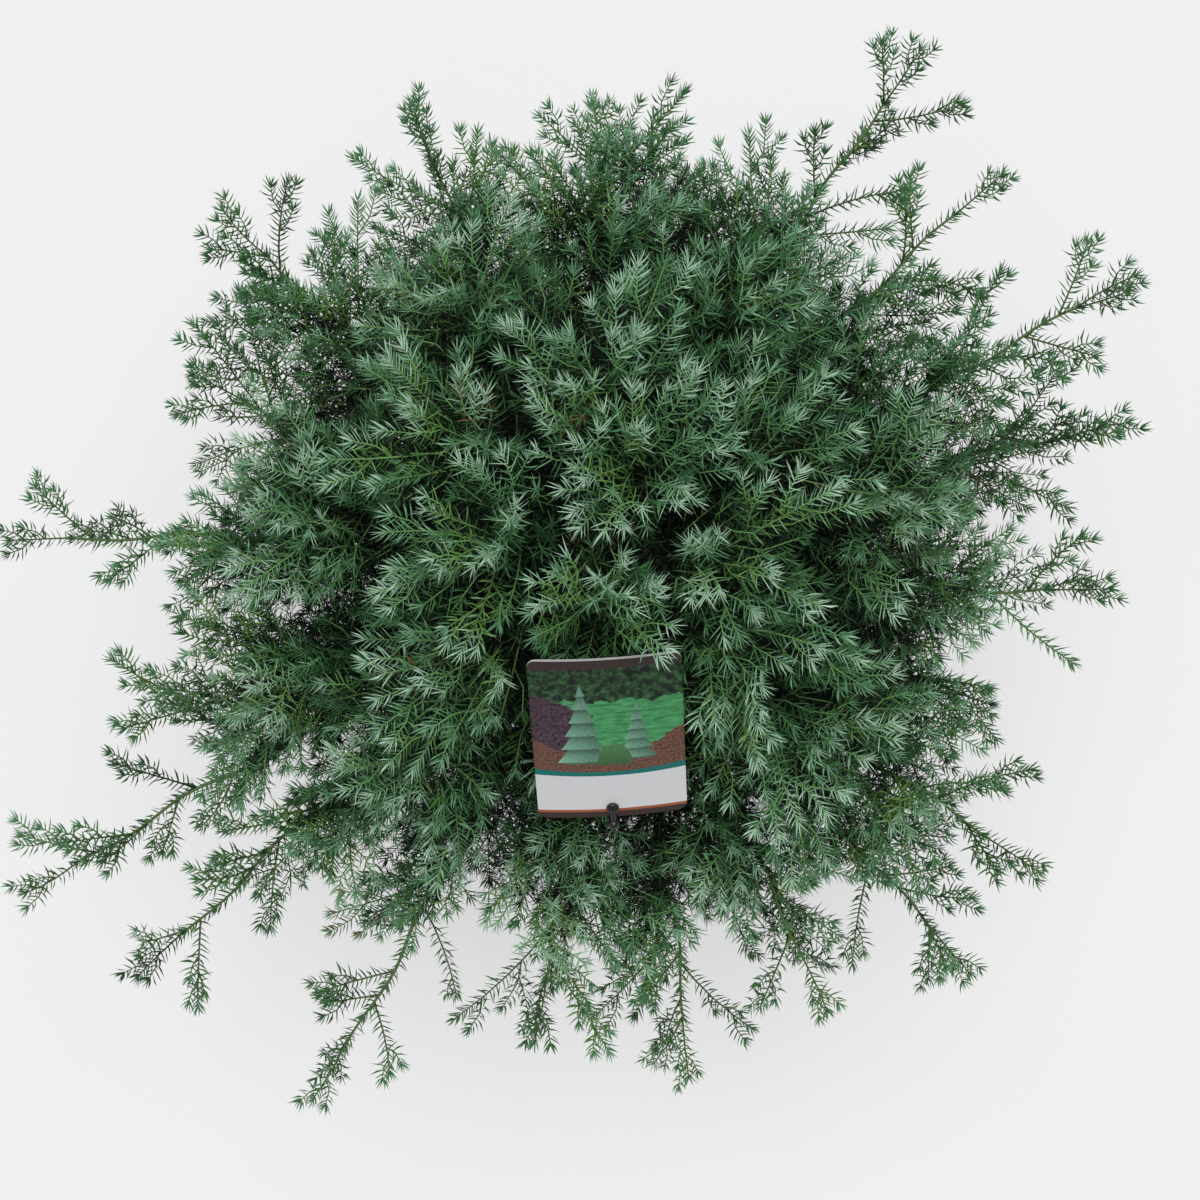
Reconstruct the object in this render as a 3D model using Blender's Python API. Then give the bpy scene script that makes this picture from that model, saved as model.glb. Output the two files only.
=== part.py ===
"""A young sawara cypress with soft juvenile needles: a low bushy mound in a plain round nursery pot,
with a picture label on a stick.

Metres, +Z up. The origin is the middle of the pot's flat underside, and the label is on the -Y side.
Every limb is one smooth arc from the trunk to a tip. Its inner part is a bare bough, and its outer
part is the stem of a mass of foliage: toothed sprays of needles stand out of it all the way.
"""

import math
import random
from dataclasses import dataclass

import bmesh
import bpy
from mathutils import Matrix, Vector
from mathutils.kdtree import KDTree

# Clearance between solids that touch
GAP = 0.0003

# Pot and potting mix
POT_HEIGHT = 0.145
POT_TOP_RADIUS = 0.082
POT_FOOT_RADIUS = 0.064
POT_WALL = 0.002
POT_FLOOR = 0.003
RIM_HEIGHT = 0.012
RIM_STAND_OUT = 0.003
POT_SIDES = 40
MIX_TOP = 0.130

# Trunk, from its root flare on the potting mix to the foot of its leading shoot
TRUNK_FOOT = MIX_TOP + GAP
TRUNK_TOP = Vector((0.010, 0.026, 0.335))
TRUNK_RADIUS = 0.0072
TRUNK_TIP_RADIUS = 0.0019
ROOT_FLARE = 1.75
ROOT_FLARE_HEIGHT = 0.012
TRUNK_SIDES = 10
TRUNK_RINGS = 10

# Boughs and the stems that carry on from them
BOUGH_RADIUS = 0.0027
BOUGH_TIP_RADIUS = 0.0018
STEM_RADIUS = 0.0019
STEM_TIP_RADIUS = 0.0011
BOUGH_POINTS = 5
STEM_SEGMENTS = 4
STEM_SIDES = 3
STEM_END = 0.95
LIMB_LIFT = 0.024
LIMB_SWAY = 0.010

# The lowest tier: azimuth in degrees, reach from the pot's middle and height of the tip
LOW_LIMBS = (
    (15, 0.241, 0.210),
    (28, 0.261, 0.240),
    (44, 0.250, 0.196),
    (58, 0.262, 0.232),
    (74, 0.190, 0.166),
    (91, 0.197, 0.236),
    (112, 0.221, 0.200),
    (137, 0.223, 0.234),
    (155, 0.206, 0.168),
    (178, 0.260, 0.216),
    (199, 0.216, 0.240),
    (210, 0.298, 0.192),
    (222, 0.271, 0.222),
    (242, 0.276, 0.182),
    (262, 0.212, 0.218),
    (280, 0.238, 0.178),
    (297, 0.220, 0.220),
    (312, 0.250, 0.186),
    (325, 0.232, 0.230),
    (340, 0.192, 0.164),
    (357, 0.223, 0.222),
)
LOW_STARTS = (0.146, 0.164, 0.152, 0.172, 0.158, 0.178)
LOW_BOUGH_SHARE = 0.25
LEAST_BOUGH_REACH = 0.210

# The middle tier, whose stems grow straight from the trunk, as all above it do
MIDDLE_LIMBS = (
    (8, 0.142, 0.286),
    (62, 0.140, 0.292),
    (118, 0.140, 0.298),
    (172, 0.142, 0.288),
    (228, 0.138, 0.276),
    (318, 0.138, 0.280),
)
MIDDLE_STARTS = (0.190, 0.207, 0.198)

# The top tier
TOP_LIMBS = (
    (36, 0.088, 0.356),
    (142, 0.086, 0.362),
    (218, 0.078, 0.348),
    (322, 0.076, 0.346),
)
TOP_STARTS = (0.232, 0.250, 0.241, 0.259)

# Upright shoots that close the crown over the trunk
CROWN_LIMBS = (
    (266, 0.036, 0.386),
    (184, 0.054, 0.380),
    (356, 0.058, 0.376),
    (98, 0.078, 0.378),
)
CROWN_STARTS = (0.270, 0.262, 0.282, 0.290)
LEADER_TIP = Vector((0.016, 0.040, 0.404))

# Foliage: how long side sprays grow inside the round crown, and on a long shoot that leaves it
CROWN_RADIUS = 0.170
CROWN_EDGE = 0.030
BUSH_SPRAY = 0.068
SHOOT_SPRAY = 0.036
LEAST_SPRAY = 0.022
TIP_SPRAY = 0.029
SPRAY_SPACING = 0.0198
SPRAY_ANGLE = math.radians(50)
SPRAY_ANGLE_SPREAD = (0.8, 1.15)
SPRAY_LENGTH_SPREAD = (0.9, 1.12)
SPRAY_ROLL = 36
UPLIFT = 0.12

# The turns of following sprays round their stem, in degrees from upright: mostly to the two sides.
# Where one doesn't fit it is turned on, and then tried again shorter.
TURNS = (90, 270, 10, 80, 280, 180)
TURN_SPREAD = 26
TURN_STEP = math.radians(24)
ATTEMPTS = 7
SPRAY_FITS = (1.0, 0.84, 0.70, 0.58, 0.46)
SEED = 41

# One spray, in shares of its length: a stalk, then teeth on alternate sides of a rib
STALK_SHARE = 0.14
TEETH = 4
TOOTH_STEP = 0.175
TOOTH_LENGTH = 0.38
TOOTH_SHRINK = 0.10
TOOTH_BASE = 0.11
TOOTH_ANGLE = math.radians(47)
RIB_SHARE = 0.040
STALK_WIDTH = 0.0007
RIDGE_ROOT = 0.0011
RIDGE_TIP = 0.0009

# Clear space for foliage: round the middle line of a limb and of the label's stick, beyond the
# trunk's radius, before and behind the card, round the pot, and between two sprays of one mass
LIMB_CLEAR = 0.0038
STICK_CLEAR = 0.0045
TRUNK_CLEAR = 0.0015
CARD_CLEAR = 0.0050
POT_CLEAR = 0.0025
SPRAY_CLEAR = 0.0022
NEAR_ROOT = 0.3
CELL_MARGIN = 0.0005
SAMPLE_STEP = 0.003

# Label: a card that leans back on the foliage, and its stick
CARD_WIDTH = 0.0605
CARD_LENGTH = 0.082
CARD_THICKNESS = 0.0008
CARD_BOW = 0.0022
CARD_CORNER = 0.004
CARD_COLUMNS = 8
CARD_TILT = math.radians(37.5)
CARD_TURN = math.radians(3.5)
CARD_FOOT = Vector((0.0053, -0.1031, 0.305))
BUTTON_RADIUS = 0.0026
BUTTON_HEIGHT = 0.0016
BUTTON_INSET = 0.0052
PIN_RADIUS = 0.0012
PIN_HEAD_RADIUS = 0.0019
PIN_HEAD_HEIGHT = 0.0012
STICK_RADIUS = 0.0016
STICK_BALL = 0.0024
STICK_FOOT = Vector((0.003, -0.046, 0.090))
HOLE_SIDES = 12

# Finishes: colour, roughness
FINISHES = {
    "pot_plastic": ((0.030, 0.031, 0.033), 0.55),
    "potting_mix": ((0.060, 0.040, 0.026), 0.95),
    "bark": ((0.200, 0.105, 0.055), 0.85),
    "foliage": ((0.085, 0.155, 0.098), 0.60),
    "label_card": ((0.620, 0.660, 0.640), 0.35),
    "label_stick": ((0.020, 0.020, 0.022), 0.45),
}


@dataclass
class Limb:
    """One arc from the trunk to a tip. Up to bough_share of its way it is a bare bough."""

    name: str
    start: Vector
    control: Vector
    tip: Vector
    bough_share: float

    def at(self, t):
        """The point at share t of the arc."""
        return (1 - t) ** 2 * self.start + 2 * t * (1 - t) * self.control + t * t * self.tip

    def heading(self, t):
        """The unit direction of growth at share t."""
        return ((1 - t) * (self.control - self.start) + t * (self.tip - self.control)).normalized()

    def length(self, start=0.0, steps=16):
        """The arc's length from share start to the tip."""
        points = [self.at(start + (1 - start) * k / steps) for k in range(steps + 1)]
        return sum((b - a).length for a, b in zip(points, points[1:]))


@dataclass
class Mass:
    """The foliage on the outer part of one limb: where its stem and its sprays start."""

    limb: Limb
    first: float
    leafy: float


def smooth_step(value, low, high):
    """0 below low, 1 above high, and a smooth way between."""
    share = min(1.0, max(0.0, (value - low) / (high - low)))
    return share * share * (3 - 2 * share)


def side_frame(heading):
    """Two unit vectors across a heading: one level, one as upright as it can be."""
    reference = Vector((0, 0, 1)) if abs(heading.z) < 0.94 else Vector((0, 1, 0))
    level = heading.cross(reference).normalized()
    return level, level.cross(heading).normalized()


# Trunk


def trunk_share(height):
    """How far up the trunk a height lies: 0 at its foot and 1 at its top."""
    return (height - TRUNK_FOOT) / (TRUNK_TOP.z - TRUNK_FOOT)


def trunk_axis(height):
    """The leaning middle line of the trunk at a height above the pot's underside."""
    bend = max(0.0, trunk_share(height)) ** 1.4
    return Vector((TRUNK_TOP.x * bend, TRUNK_TOP.y * bend, height))


def trunk_radius(height):
    """The trunk's radius: an even taper, with a root flare at the foot."""
    taper = TRUNK_RADIUS + (TRUNK_TIP_RADIUS - TRUNK_RADIUS) * trunk_share(height)
    flare = math.exp(-(height - TRUNK_FOOT) / ROOT_FLARE_HEIGHT)
    return taper * (1 + (ROOT_FLARE - 1) * flare)


# Limbs


def grow_limb(name, azimuth, reach, tip_height, start_height, bough_share):
    """A limb that leaves the trunk, rises over its chord, bows down to its tip and sways a little."""
    angle = math.radians(azimuth)
    outward = Vector((math.cos(angle), math.sin(angle), 0))
    sideways = Vector((-outward.y, outward.x, 0))
    start = trunk_axis(start_height)
    tip = outward * reach + Vector((0, 0, tip_height))
    sway = LIMB_SWAY * math.sin(azimuth * 7.3)
    control = (start + tip) / 2 + Vector((0, 0, LIMB_LIFT)) + sideways * sway
    return Limb(name, start, control, tip, bough_share)


def all_limbs():
    """Every limb of the plant, tier by tier, with the leading shoot last."""
    tiers = (
        ("low", LOW_LIMBS, LOW_STARTS, LOW_BOUGH_SHARE),
        ("middle", MIDDLE_LIMBS, MIDDLE_STARTS, 0.0),
        ("top", TOP_LIMBS, TOP_STARTS, 0.0),
        ("crown", CROWN_LIMBS, CROWN_STARTS, 0.0),
    )
    limbs = []
    for tier, rows, starts, share in tiers:
        for number, (azimuth, reach, height) in enumerate(rows):
            name = f"{tier}_{number + 1:02d}"
            start = starts[number % len(starts)]
            bare = 0.0 if tier == "low" and reach < LEAST_BOUGH_REACH else share
            limbs.append(grow_limb(name, azimuth, reach, height, start, bare))
    middle = (TRUNK_TOP + LEADER_TIP) / 2
    limbs.append(Limb("leader", TRUNK_TOP.copy(), middle, LEADER_TIP, 0.0))
    return limbs


def first_clear(limb, radius, sides):
    """The share of the arc at which a square end of this radius is just clear of the trunk."""
    if limb.name == "leader":
        return GAP / limb.length()
    t = 0.0
    while trunk_distance(ring_at(limb.at(t), limb.heading(t), radius, sides)) < GAP:
        t += 0.001
    return t


def trunk_distance(points):
    """How far the nearest of some points lies from the trunk's surface."""
    return min((p - trunk_axis(p.z)).to_2d().length - trunk_radius(p.z) for p in points)


# Materials and meshes


def finish(name):
    """The Principled material of one finish, made once."""
    if name in bpy.data.materials:
        return bpy.data.materials[name]
    colour, roughness = FINISHES[name]
    material = bpy.data.materials.new(name)
    material.use_nodes = True
    shader = material.node_tree.nodes["Principled BSDF"]
    shader.inputs["Base Color"].default_value = (*colour, 1)
    shader.inputs["Roughness"].default_value = roughness
    return material


def add_object(name, data, finish_name):
    """Puts a mesh or a curve in the scene under a node's name."""
    made = bpy.data.objects.new(name, data)
    bpy.context.scene.collection.objects.link(made)
    data.materials.append(finish(finish_name))
    return made


def mesh_from(name, bm):
    """Closes a bmesh off into a mesh with its faces pointing out."""
    bmesh.ops.recalc_face_normals(bm, faces=bm.faces)
    mesh = bpy.data.meshes.new(name)
    bm.to_mesh(mesh)
    bm.free()
    return mesh


def loft(bm, rings):
    """Joins rings of equally many points, each to the next, and caps both ends."""
    loops = [[bm.verts.new(point) for point in ring] for ring in rings]
    count = len(loops[0])
    for low, high in zip(loops, loops[1:]):
        for k in range(count):
            after = (k + 1) % count
            bm.faces.new((low[k], low[after], high[after], high[k]))
    bm.faces.new(reversed(loops[0]))
    bm.faces.new(loops[-1])


def ring_at(centre, heading, radius, sides):
    """Points of a ring square to a heading."""
    level, upright = side_frame(heading)
    angles = [2 * math.pi * k / sides for k in range(sides)]
    return [centre + radius * (math.cos(a) * level + math.sin(a) * upright) for a in angles]


def level_ring(centre, radius, sides):
    """Points of a level ring."""
    angles = [2 * math.pi * k / sides for k in range(sides)]
    return [centre + radius * Vector((math.cos(a), math.sin(a), 0)) for a in angles]


def rod_mesh(points, radii, sides):
    """A closed round rod through points, with a radius at each."""
    bm = bmesh.new()
    rings = []
    for k, (point, radius) in enumerate(zip(points, radii)):
        before, after = points[max(0, k - 1)], points[min(len(points) - 1, k + 1)]
        rings.append(ring_at(point, (after - before).normalized(), radius, sides))
    loft(bm, rings)
    return mesh_from("rod", bm)


def apply_modifiers(body):
    """Turns an object's modifiers into its mesh."""
    graph = bpy.context.evaluated_depsgraph_get()
    made = bpy.data.meshes.new_from_object(body.evaluated_get(graph))
    body.modifiers.clear()
    body.data = made


def cut_hole(body, start, end, radius):
    """Cuts a round hole through a body between two points."""
    cutter = bpy.data.objects.new("hole", rod_mesh([start, end], [radius, radius], HOLE_SIDES))
    bpy.context.scene.collection.objects.link(cutter)
    cut = body.modifiers.new("hole", "BOOLEAN")
    cut.operation = "DIFFERENCE"
    cut.object = cutter
    apply_modifiers(body)
    bpy.data.objects.remove(cutter)


def union_of(name, meshes, finish_name):
    """One object from several closed meshes that run into each other, joined by a Boolean union."""
    body = add_object(name, meshes[0], finish_name)
    tools = bpy.data.collections.new(name + "_tools")
    bpy.context.scene.collection.children.link(tools)
    for mesh in meshes[1:]:
        tools.objects.link(bpy.data.objects.new(name + "_tool", mesh))
    join = body.modifiers.new("join", "BOOLEAN")
    join.operation = "UNION"
    join.operand_type = "COLLECTION"
    join.collection = tools
    join.solver = "EXACT"
    apply_modifiers(body)
    for tool in list(tools.objects):
        bpy.data.objects.remove(tool)
    bpy.data.collections.remove(tools)
    keep_largest(body.data)


def keep_largest(mesh):
    """Drops any loose scrap, so that the mesh is one body."""
    bm = bmesh.new()
    bm.from_mesh(mesh)
    left = set(bm.verts)
    islands = []
    while left:
        found = {left.pop()}
        edge_of_search = list(found)
        while edge_of_search:
            vertex = edge_of_search.pop()
            near = {edge.other_vert(vertex) for edge in vertex.link_edges} & left
            left -= near
            found |= near
            edge_of_search.extend(near)
        islands.append(found)
    largest = max(islands, key=len)
    scraps = [v for island in islands if island is not largest for v in island]
    bmesh.ops.delete(bm, geom=scraps, context="VERTS")
    bm.to_mesh(mesh)
    bm.free()


# Pot, potting mix and trunk


def pot_radius(height):
    """The outer radius of the pot's wall at a height."""
    return POT_FOOT_RADIUS + (POT_TOP_RADIUS - POT_FOOT_RADIUS) * height / POT_HEIGHT


def turned(name, profile, finish_name):
    """A body turned about Z from (radius, height) points, closed by a level disc at either end."""
    bm = bmesh.new()
    loft(bm, [level_ring(Vector((0, 0, height)), radius, POT_SIDES) for radius, height in profile])
    made = add_object(name, mesh_from(name, bm), finish_name)
    made.data.shade_smooth()
    made.data.set_sharp_from_angle(angle=math.radians(35))
    return made


def make_pot():
    """The pot: a tapering wall with a turned-out rim, open at the top."""
    rim_foot = POT_HEIGHT - RIM_HEIGHT
    rim = POT_TOP_RADIUS + RIM_STAND_OUT
    turned("pot", (
        (POT_FOOT_RADIUS, 0),
        (pot_radius(rim_foot), rim_foot),
        (rim, rim_foot),
        (rim, POT_HEIGHT),
        (POT_TOP_RADIUS - POT_WALL, POT_HEIGHT),
        (POT_FOOT_RADIUS - POT_WALL, POT_FLOOR),
    ), "pot_plastic")


def make_mix():
    """The potting mix fills the pot to a little below the rim, with a hole that the stick stands in."""
    inside = POT_WALL + 2 * GAP
    low = POT_FLOOR + GAP
    profile = ((pot_radius(low) - inside, low), (pot_radius(MIX_TOP) - inside, MIX_TOP))
    mix = turned("potting_mix", profile, "potting_mix")
    heading = (stick_top() - STICK_FOOT).normalized()
    beyond = STICK_FOOT + heading * (MIX_TOP - STICK_FOOT.z) * 1.3
    cut_hole(mix, STICK_FOOT - heading * GAP, beyond, STICK_RADIUS + GAP)


def make_trunk():
    """The trunk: a leaning taper from a flat cut on the mix, closer rings at the root flare."""
    rise = TRUNK_TOP.z - TRUNK_FOOT
    heights = [TRUNK_FOOT + rise * (k / TRUNK_RINGS) ** 1.6 for k in range(TRUNK_RINGS + 1)]
    bm = bmesh.new()
    loft(bm, [level_ring(trunk_axis(z), trunk_radius(z), TRUNK_SIDES) for z in heights])
    made = add_object("trunk", mesh_from("trunk", bm), "bark")
    made.data.shade_smooth()
    made.data.set_sharp_from_angle(angle=math.radians(50))


def make_bough(limb):
    """The bare part of a limb, one tapering tube with filled ends."""
    first = first_clear(limb, BOUGH_RADIUS, HOLE_SIDES)
    curve = bpy.data.curves.new("bough_" + limb.name, "CURVE")
    curve.dimensions = "3D"
    curve.bevel_depth = 1.0
    curve.bevel_resolution = 1
    curve.use_fill_caps = True
    spline = curve.splines.new("POLY")
    spline.points.add(BOUGH_POINTS - 1)
    for k, point in enumerate(spline.points):
        share = k / (BOUGH_POINTS - 1)
        point.co = (*limb.at(first + (limb.bough_share - first) * share), 1)
        point.radius = BOUGH_RADIUS + (BOUGH_TIP_RADIUS - BOUGH_RADIUS) * share
    add_object("bough_" + limb.name, curve, "bark")


# Label


def card_matrix():
    """From the card's own plane (x across, y up its length, z out of its face) to the plant."""
    turn = Matrix.Rotation(CARD_TURN, 4, "Z") @ Matrix.Rotation(CARD_TILT, 4, "X")
    return Matrix.Translation(CARD_FOOT) @ turn


def card_bow(x):
    """How far the card's middle stands out of the plane of its long edges, at x."""
    return CARD_BOW * (1 - (2 * x / CARD_WIDTH) ** 2)


def corner_cut(x):
    """How far short of its full length the card ends at x, where a round corner takes it in."""
    past = abs(x) - (CARD_WIDTH / 2 - CARD_CORNER)
    if past <= 0:
        return 0.0
    return CARD_CORNER - math.sqrt(max(0.0, CARD_CORNER ** 2 - past ** 2))


def stick_top():
    """The ball at the stick's upper end, just outside the card's lower edge."""
    return card_matrix() @ Vector((0, -STICK_BALL - 2 * GAP, card_bow(0) + STICK_BALL * 0.7))


def make_card():
    """The card: a thin bowed plate with round corners and a hole for the button's pin."""
    flat = 1 - 2 * CARD_CORNER / CARD_WIDTH
    middle = [-flat + 2 * flat * k / CARD_COLUMNS for k in range(CARD_COLUMNS + 1)]
    corner = [flat + (1 - flat) * share for share in (0.45, 0.8, 1.0)]
    bm = bmesh.new()
    rings = []
    for share in [-x for x in reversed(corner)] + middle + corner:
        x = share * CARD_WIDTH / 2
        cut, rise = corner_cut(x), card_bow(x)
        back, face = rise - CARD_THICKNESS / 2, rise + CARD_THICKNESS / 2
        high = CARD_LENGTH - cut
        edges = ((x, cut, back), (x, high, back), (x, high, face), (x, cut, face))
        rings.append([card_matrix() @ Vector(point) for point in edges])
    loft(bm, rings)
    card = add_object("label_card", mesh_from("label_card", bm), "label_card")
    through = Vector((0, 0, 4 * CARD_THICKNESS))
    hole = Vector((0, BUTTON_INSET, card_bow(0)))
    cut_hole(card, card_matrix() @ (hole - through), card_matrix() @ (hole + through), PIN_RADIUS + GAP)


def make_stick():
    """The label's stick: a rod from the mix to a ball, an arm over the card's edge, and a button
    whose pin goes through the card to a small head behind it."""
    matrix = card_matrix()
    top = stick_top()
    face = card_bow(0) + CARD_THICKNESS / 2 + GAP
    back = card_bow(0) - CARD_THICKNESS / 2 - GAP

    def pin_part(low, high, radius, top_radius):
        ends = [matrix @ Vector((0, BUTTON_INSET, z)) for z in (low, high)]
        return rod_mesh(ends, [radius, top_radius], HOLE_SIDES)

    arm_end = matrix @ Vector((0, BUTTON_INSET, face + STICK_RADIUS * 0.9))
    ball = bmesh.new()
    bmesh.ops.create_icosphere(ball, subdivisions=2, radius=STICK_BALL, matrix=Matrix.Translation(top))
    union_of("label_stick", [
        rod_mesh([STICK_FOOT, top], [STICK_RADIUS * 0.8, STICK_RADIUS], 8),
        mesh_from("ball", ball),
        rod_mesh([top, arm_end], [PIN_RADIUS, PIN_RADIUS * 0.62], 8),
        pin_part(face, face + BUTTON_HEIGHT, BUTTON_RADIUS, BUTTON_RADIUS * 0.92),
        pin_part(back - PIN_HEAD_HEIGHT / 2, face + BUTTON_HEIGHT / 2, PIN_RADIUS, PIN_RADIUS),
        pin_part(back - PIN_HEAD_HEIGHT, back, PIN_HEAD_RADIUS, PIN_HEAD_RADIUS),
    ], "label_stick")


# Foliage


def spray_length(point):
    """How long a side spray grows from a stem at this point: full inside the round crown, and
    short on a long shoot that leaves it."""
    out = smooth_step(point.to_2d().length, CROWN_RADIUS - CROWN_EDGE, CROWN_RADIUS + CROWN_EDGE)
    return BUSH_SPRAY + (SHOOT_SPRAY - BUSH_SPRAY) * out


def all_masses(limbs):
    """A mass for each limb, on the part of it that carries foliage."""
    masses = []
    for limb in limbs:
        if limb.bough_share:
            first = limb.bough_share + GAP / limb.length()
        else:
            first = first_clear(limb, STEM_RADIUS, STEM_SIDES)
        leafy = max(first, LOW_BOUGH_SHARE if limb.name.startswith("low") else first)
        masses.append(Mass(limb, first, leafy))
    return masses


def steps_between(low, high):
    """Numbers from low to high, at most a sample's step apart."""
    count = math.ceil((high - low) / SAMPLE_STEP)
    return [low + (high - low) * k / count for k in range(count + 1)]


def tree_of(samples):
    """A search tree of samples, each of which starts with its place."""
    tree = KDTree(len(samples))
    for index, sample in enumerate(samples):
        tree.insert(sample[0], index)
    tree.balance()
    return tree


class Surroundings:
    """Where the limbs, the trunk and the label are, so that foliage keeps to its own space.

    A mass's space is all that lies nearer to its own limb than to any other. Each sample is a place,
    the clear space round it, the mass that may touch it and the mass whose limb it lies on."""

    def __init__(self, masses):
        samples = []
        for number, mass in enumerate(masses):
            count = int(mass.limb.length() / SAMPLE_STEP)
            for t in (k / count for k in range(count + 1)):
                owner = number if t >= mass.first else None
                samples.append((mass.limb.at(t), LIMB_CLEAR, owner, number))
        for height in steps_between(TRUNK_FOOT, TRUNK_TOP.z):
            samples.append((trunk_axis(height), trunk_radius(height) + TRUNK_CLEAR, None, None))
        for height in steps_between(STICK_FOOT.z, stick_top().z):
            share = (height - STICK_FOOT.z) / (stick_top().z - STICK_FOOT.z)
            samples.append((STICK_FOOT.lerp(stick_top(), share), STICK_CLEAR, None, None))
        for x in steps_between(-CARD_WIDTH / 2, CARD_WIDTH / 2):
            for y in steps_between(0, CARD_LENGTH):
                place = card_matrix() @ Vector((x, y, card_bow(x)))
                samples.append((place, CARD_CLEAR, None, None))
        self.samples = samples
        self.widest = max(sample[1] for sample in samples)
        self.tree = tree_of(samples)
        self.limb_samples = [sample for sample in samples if sample[3] is not None]
        self.limb_tree = tree_of(self.limb_samples)

    def in_space(self, point, number):
        """Whether a point is nearest to this mass's limb, and outside the pot."""
        nearest = self.limb_tree.find(point)[2]
        for _, index, _ in self.limb_tree.find_range(point, nearest + 2 * CELL_MARGIN):
            if self.limb_samples[index][3] != number:
                return False
        beside = point.to_2d().length > POT_TOP_RADIUS + RIM_STAND_OUT + POT_CLEAR
        return beside or point.z > POT_HEIGHT + POT_CLEAR

    def touches(self, point, number):
        """Whether a point lies against a limb of another mass, a bough, the trunk or the label."""
        for _, index, distance in self.tree.find_range(point, self.widest):
            _, clearance, owner, _ = self.samples[index]
            if owner != number and distance < clearance:
                return True
        return False

    def free(self, points, number):
        """Whether all points are in this mass's space and touch nothing."""
        return all(self.in_space(p, number) and not self.touches(p, number) for p in points)


def spray_plan(length):
    """A spray's plan: the points of its left and right edges from the root on, and its ridge."""
    sides = ([(0.0, STALK_WIDTH)], [(0.0, STALK_WIDTH)])
    ridge = [0.0]
    for k in range(TEETH):
        foot = length * (STALK_SHARE + TOOTH_STEP * k)
        tooth = length * TOOTH_LENGTH * (1 - TOOTH_SHRINK * k)
        tip = (foot + tooth * math.cos(TOOTH_ANGLE), tooth * math.sin(TOOTH_ANGLE))
        notch = (foot + length * TOOTH_BASE, length * RIB_SHARE)
        sides[k % 2].extend((tip, notch))
        ridge.append(foot + length * TOOTH_BASE * 0.5)
    return sides[0], sides[1], ridge


class Spray:
    """A toothed blade with a ridge: flat below, thickest along its rib, and sharp at its edges."""

    def __init__(self, root, way, roll, length):
        level, upright = side_frame(way)
        self.face = (math.cos(roll) * upright + math.sin(roll) * level).normalized()
        self.across = way.cross(self.face).normalized()
        self.root = root - self.face * (RIDGE_ROOT * 0.5)
        self.way = way
        self.length = length
        self.left, self.right, self.ridge = spray_plan(length)

    def place(self, x, y, rise=0.0):
        """A point of the plan, in the plant."""
        return self.root + self.way * x + self.across * y + self.face * rise

    def test_points(self):
        """Points of the blade's edge and rib, close enough together to find what it touches."""
        edge = [self.place(x, y) for x, y in self.left[1:]] + [self.place(self.length, 0)]
        edge += [self.place(x, -y) for x, y in reversed(self.right[1:])]
        found = [self.place(x, 0) for x in steps_between(self.ridge[1], self.length)]
        for a, b in zip(edge, edge[1:]):
            count = max(1, math.ceil((b - a).length / SAMPLE_STEP))
            found.extend(a.lerp(b, k / count) for k in range(count + 1))
        return found

    def mesh(self):
        """The closed blade."""
        bm = bmesh.new()
        left = [bm.verts.new(self.place(x, y)) for x, y in self.left]
        right = [bm.verts.new(self.place(x, -y)) for x, y in self.right]
        tip = bm.verts.new(self.place(self.length, 0))
        ridge = []
        for x in self.ridge:
            rise = RIDGE_ROOT + (RIDGE_TIP - RIDGE_ROOT) * x / self.length
            ridge.append(bm.verts.new(self.place(x, 0, rise)))
        strip(bm, left + [tip], ridge, 0)
        strip(bm, right + [tip], ridge, 1)
        bm.faces.new((left[0], right[0], ridge[0]))
        bm.faces.new(left + [tip] + right[::-1])
        return mesh_from("spray", bm)


def strip(bm, edge, ridge, first):
    """The sloping faces between one edge of a spray and its ridge, whose own teeth on this side
    start at the tooth numbered first."""
    at = 0
    for k, (a, b) in enumerate(zip(edge, edge[1:])):
        wanted = min(1 + first + 2 * (k // 2), len(ridge) - 1)
        while at < wanted:
            bm.faces.new((a, ridge[at], ridge[at + 1]))
            at += 1
        bm.faces.new((a, b, ridge[at]))
    while at < len(ridge) - 1:
        bm.faces.new((edge[-1], ridge[at], ridge[at + 1]))
        at += 1


def stem_mesh(mass):
    """The mass's own stem, three-sided, from its bough's tip or the trunk to the end of the limb."""
    bm = bmesh.new()
    rings = []
    for k in range(STEM_SEGMENTS + 1):
        share = k / STEM_SEGMENTS
        t = mass.first + (STEM_END - mass.first) * share
        radius = STEM_RADIUS + (STEM_TIP_RADIUS - STEM_RADIUS) * share
        rings.append(ring_at(mass.limb.at(t), mass.limb.heading(t), radius, STEM_SIDES))
    loft(bm, rings)
    return mesh_from("stem", bm)


def side_way(mass, t, turn, angle):
    """A side spray's heading: out from the stem at an angle, turned round it, a little uplifted."""
    heading = mass.limb.heading(t)
    level, upright = side_frame(heading)
    across = math.cos(turn) * upright + math.sin(turn) * level
    way = math.cos(angle) * heading + math.sin(angle) * across
    return (way + Vector((0, 0, UPLIFT))).normalized()


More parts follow.
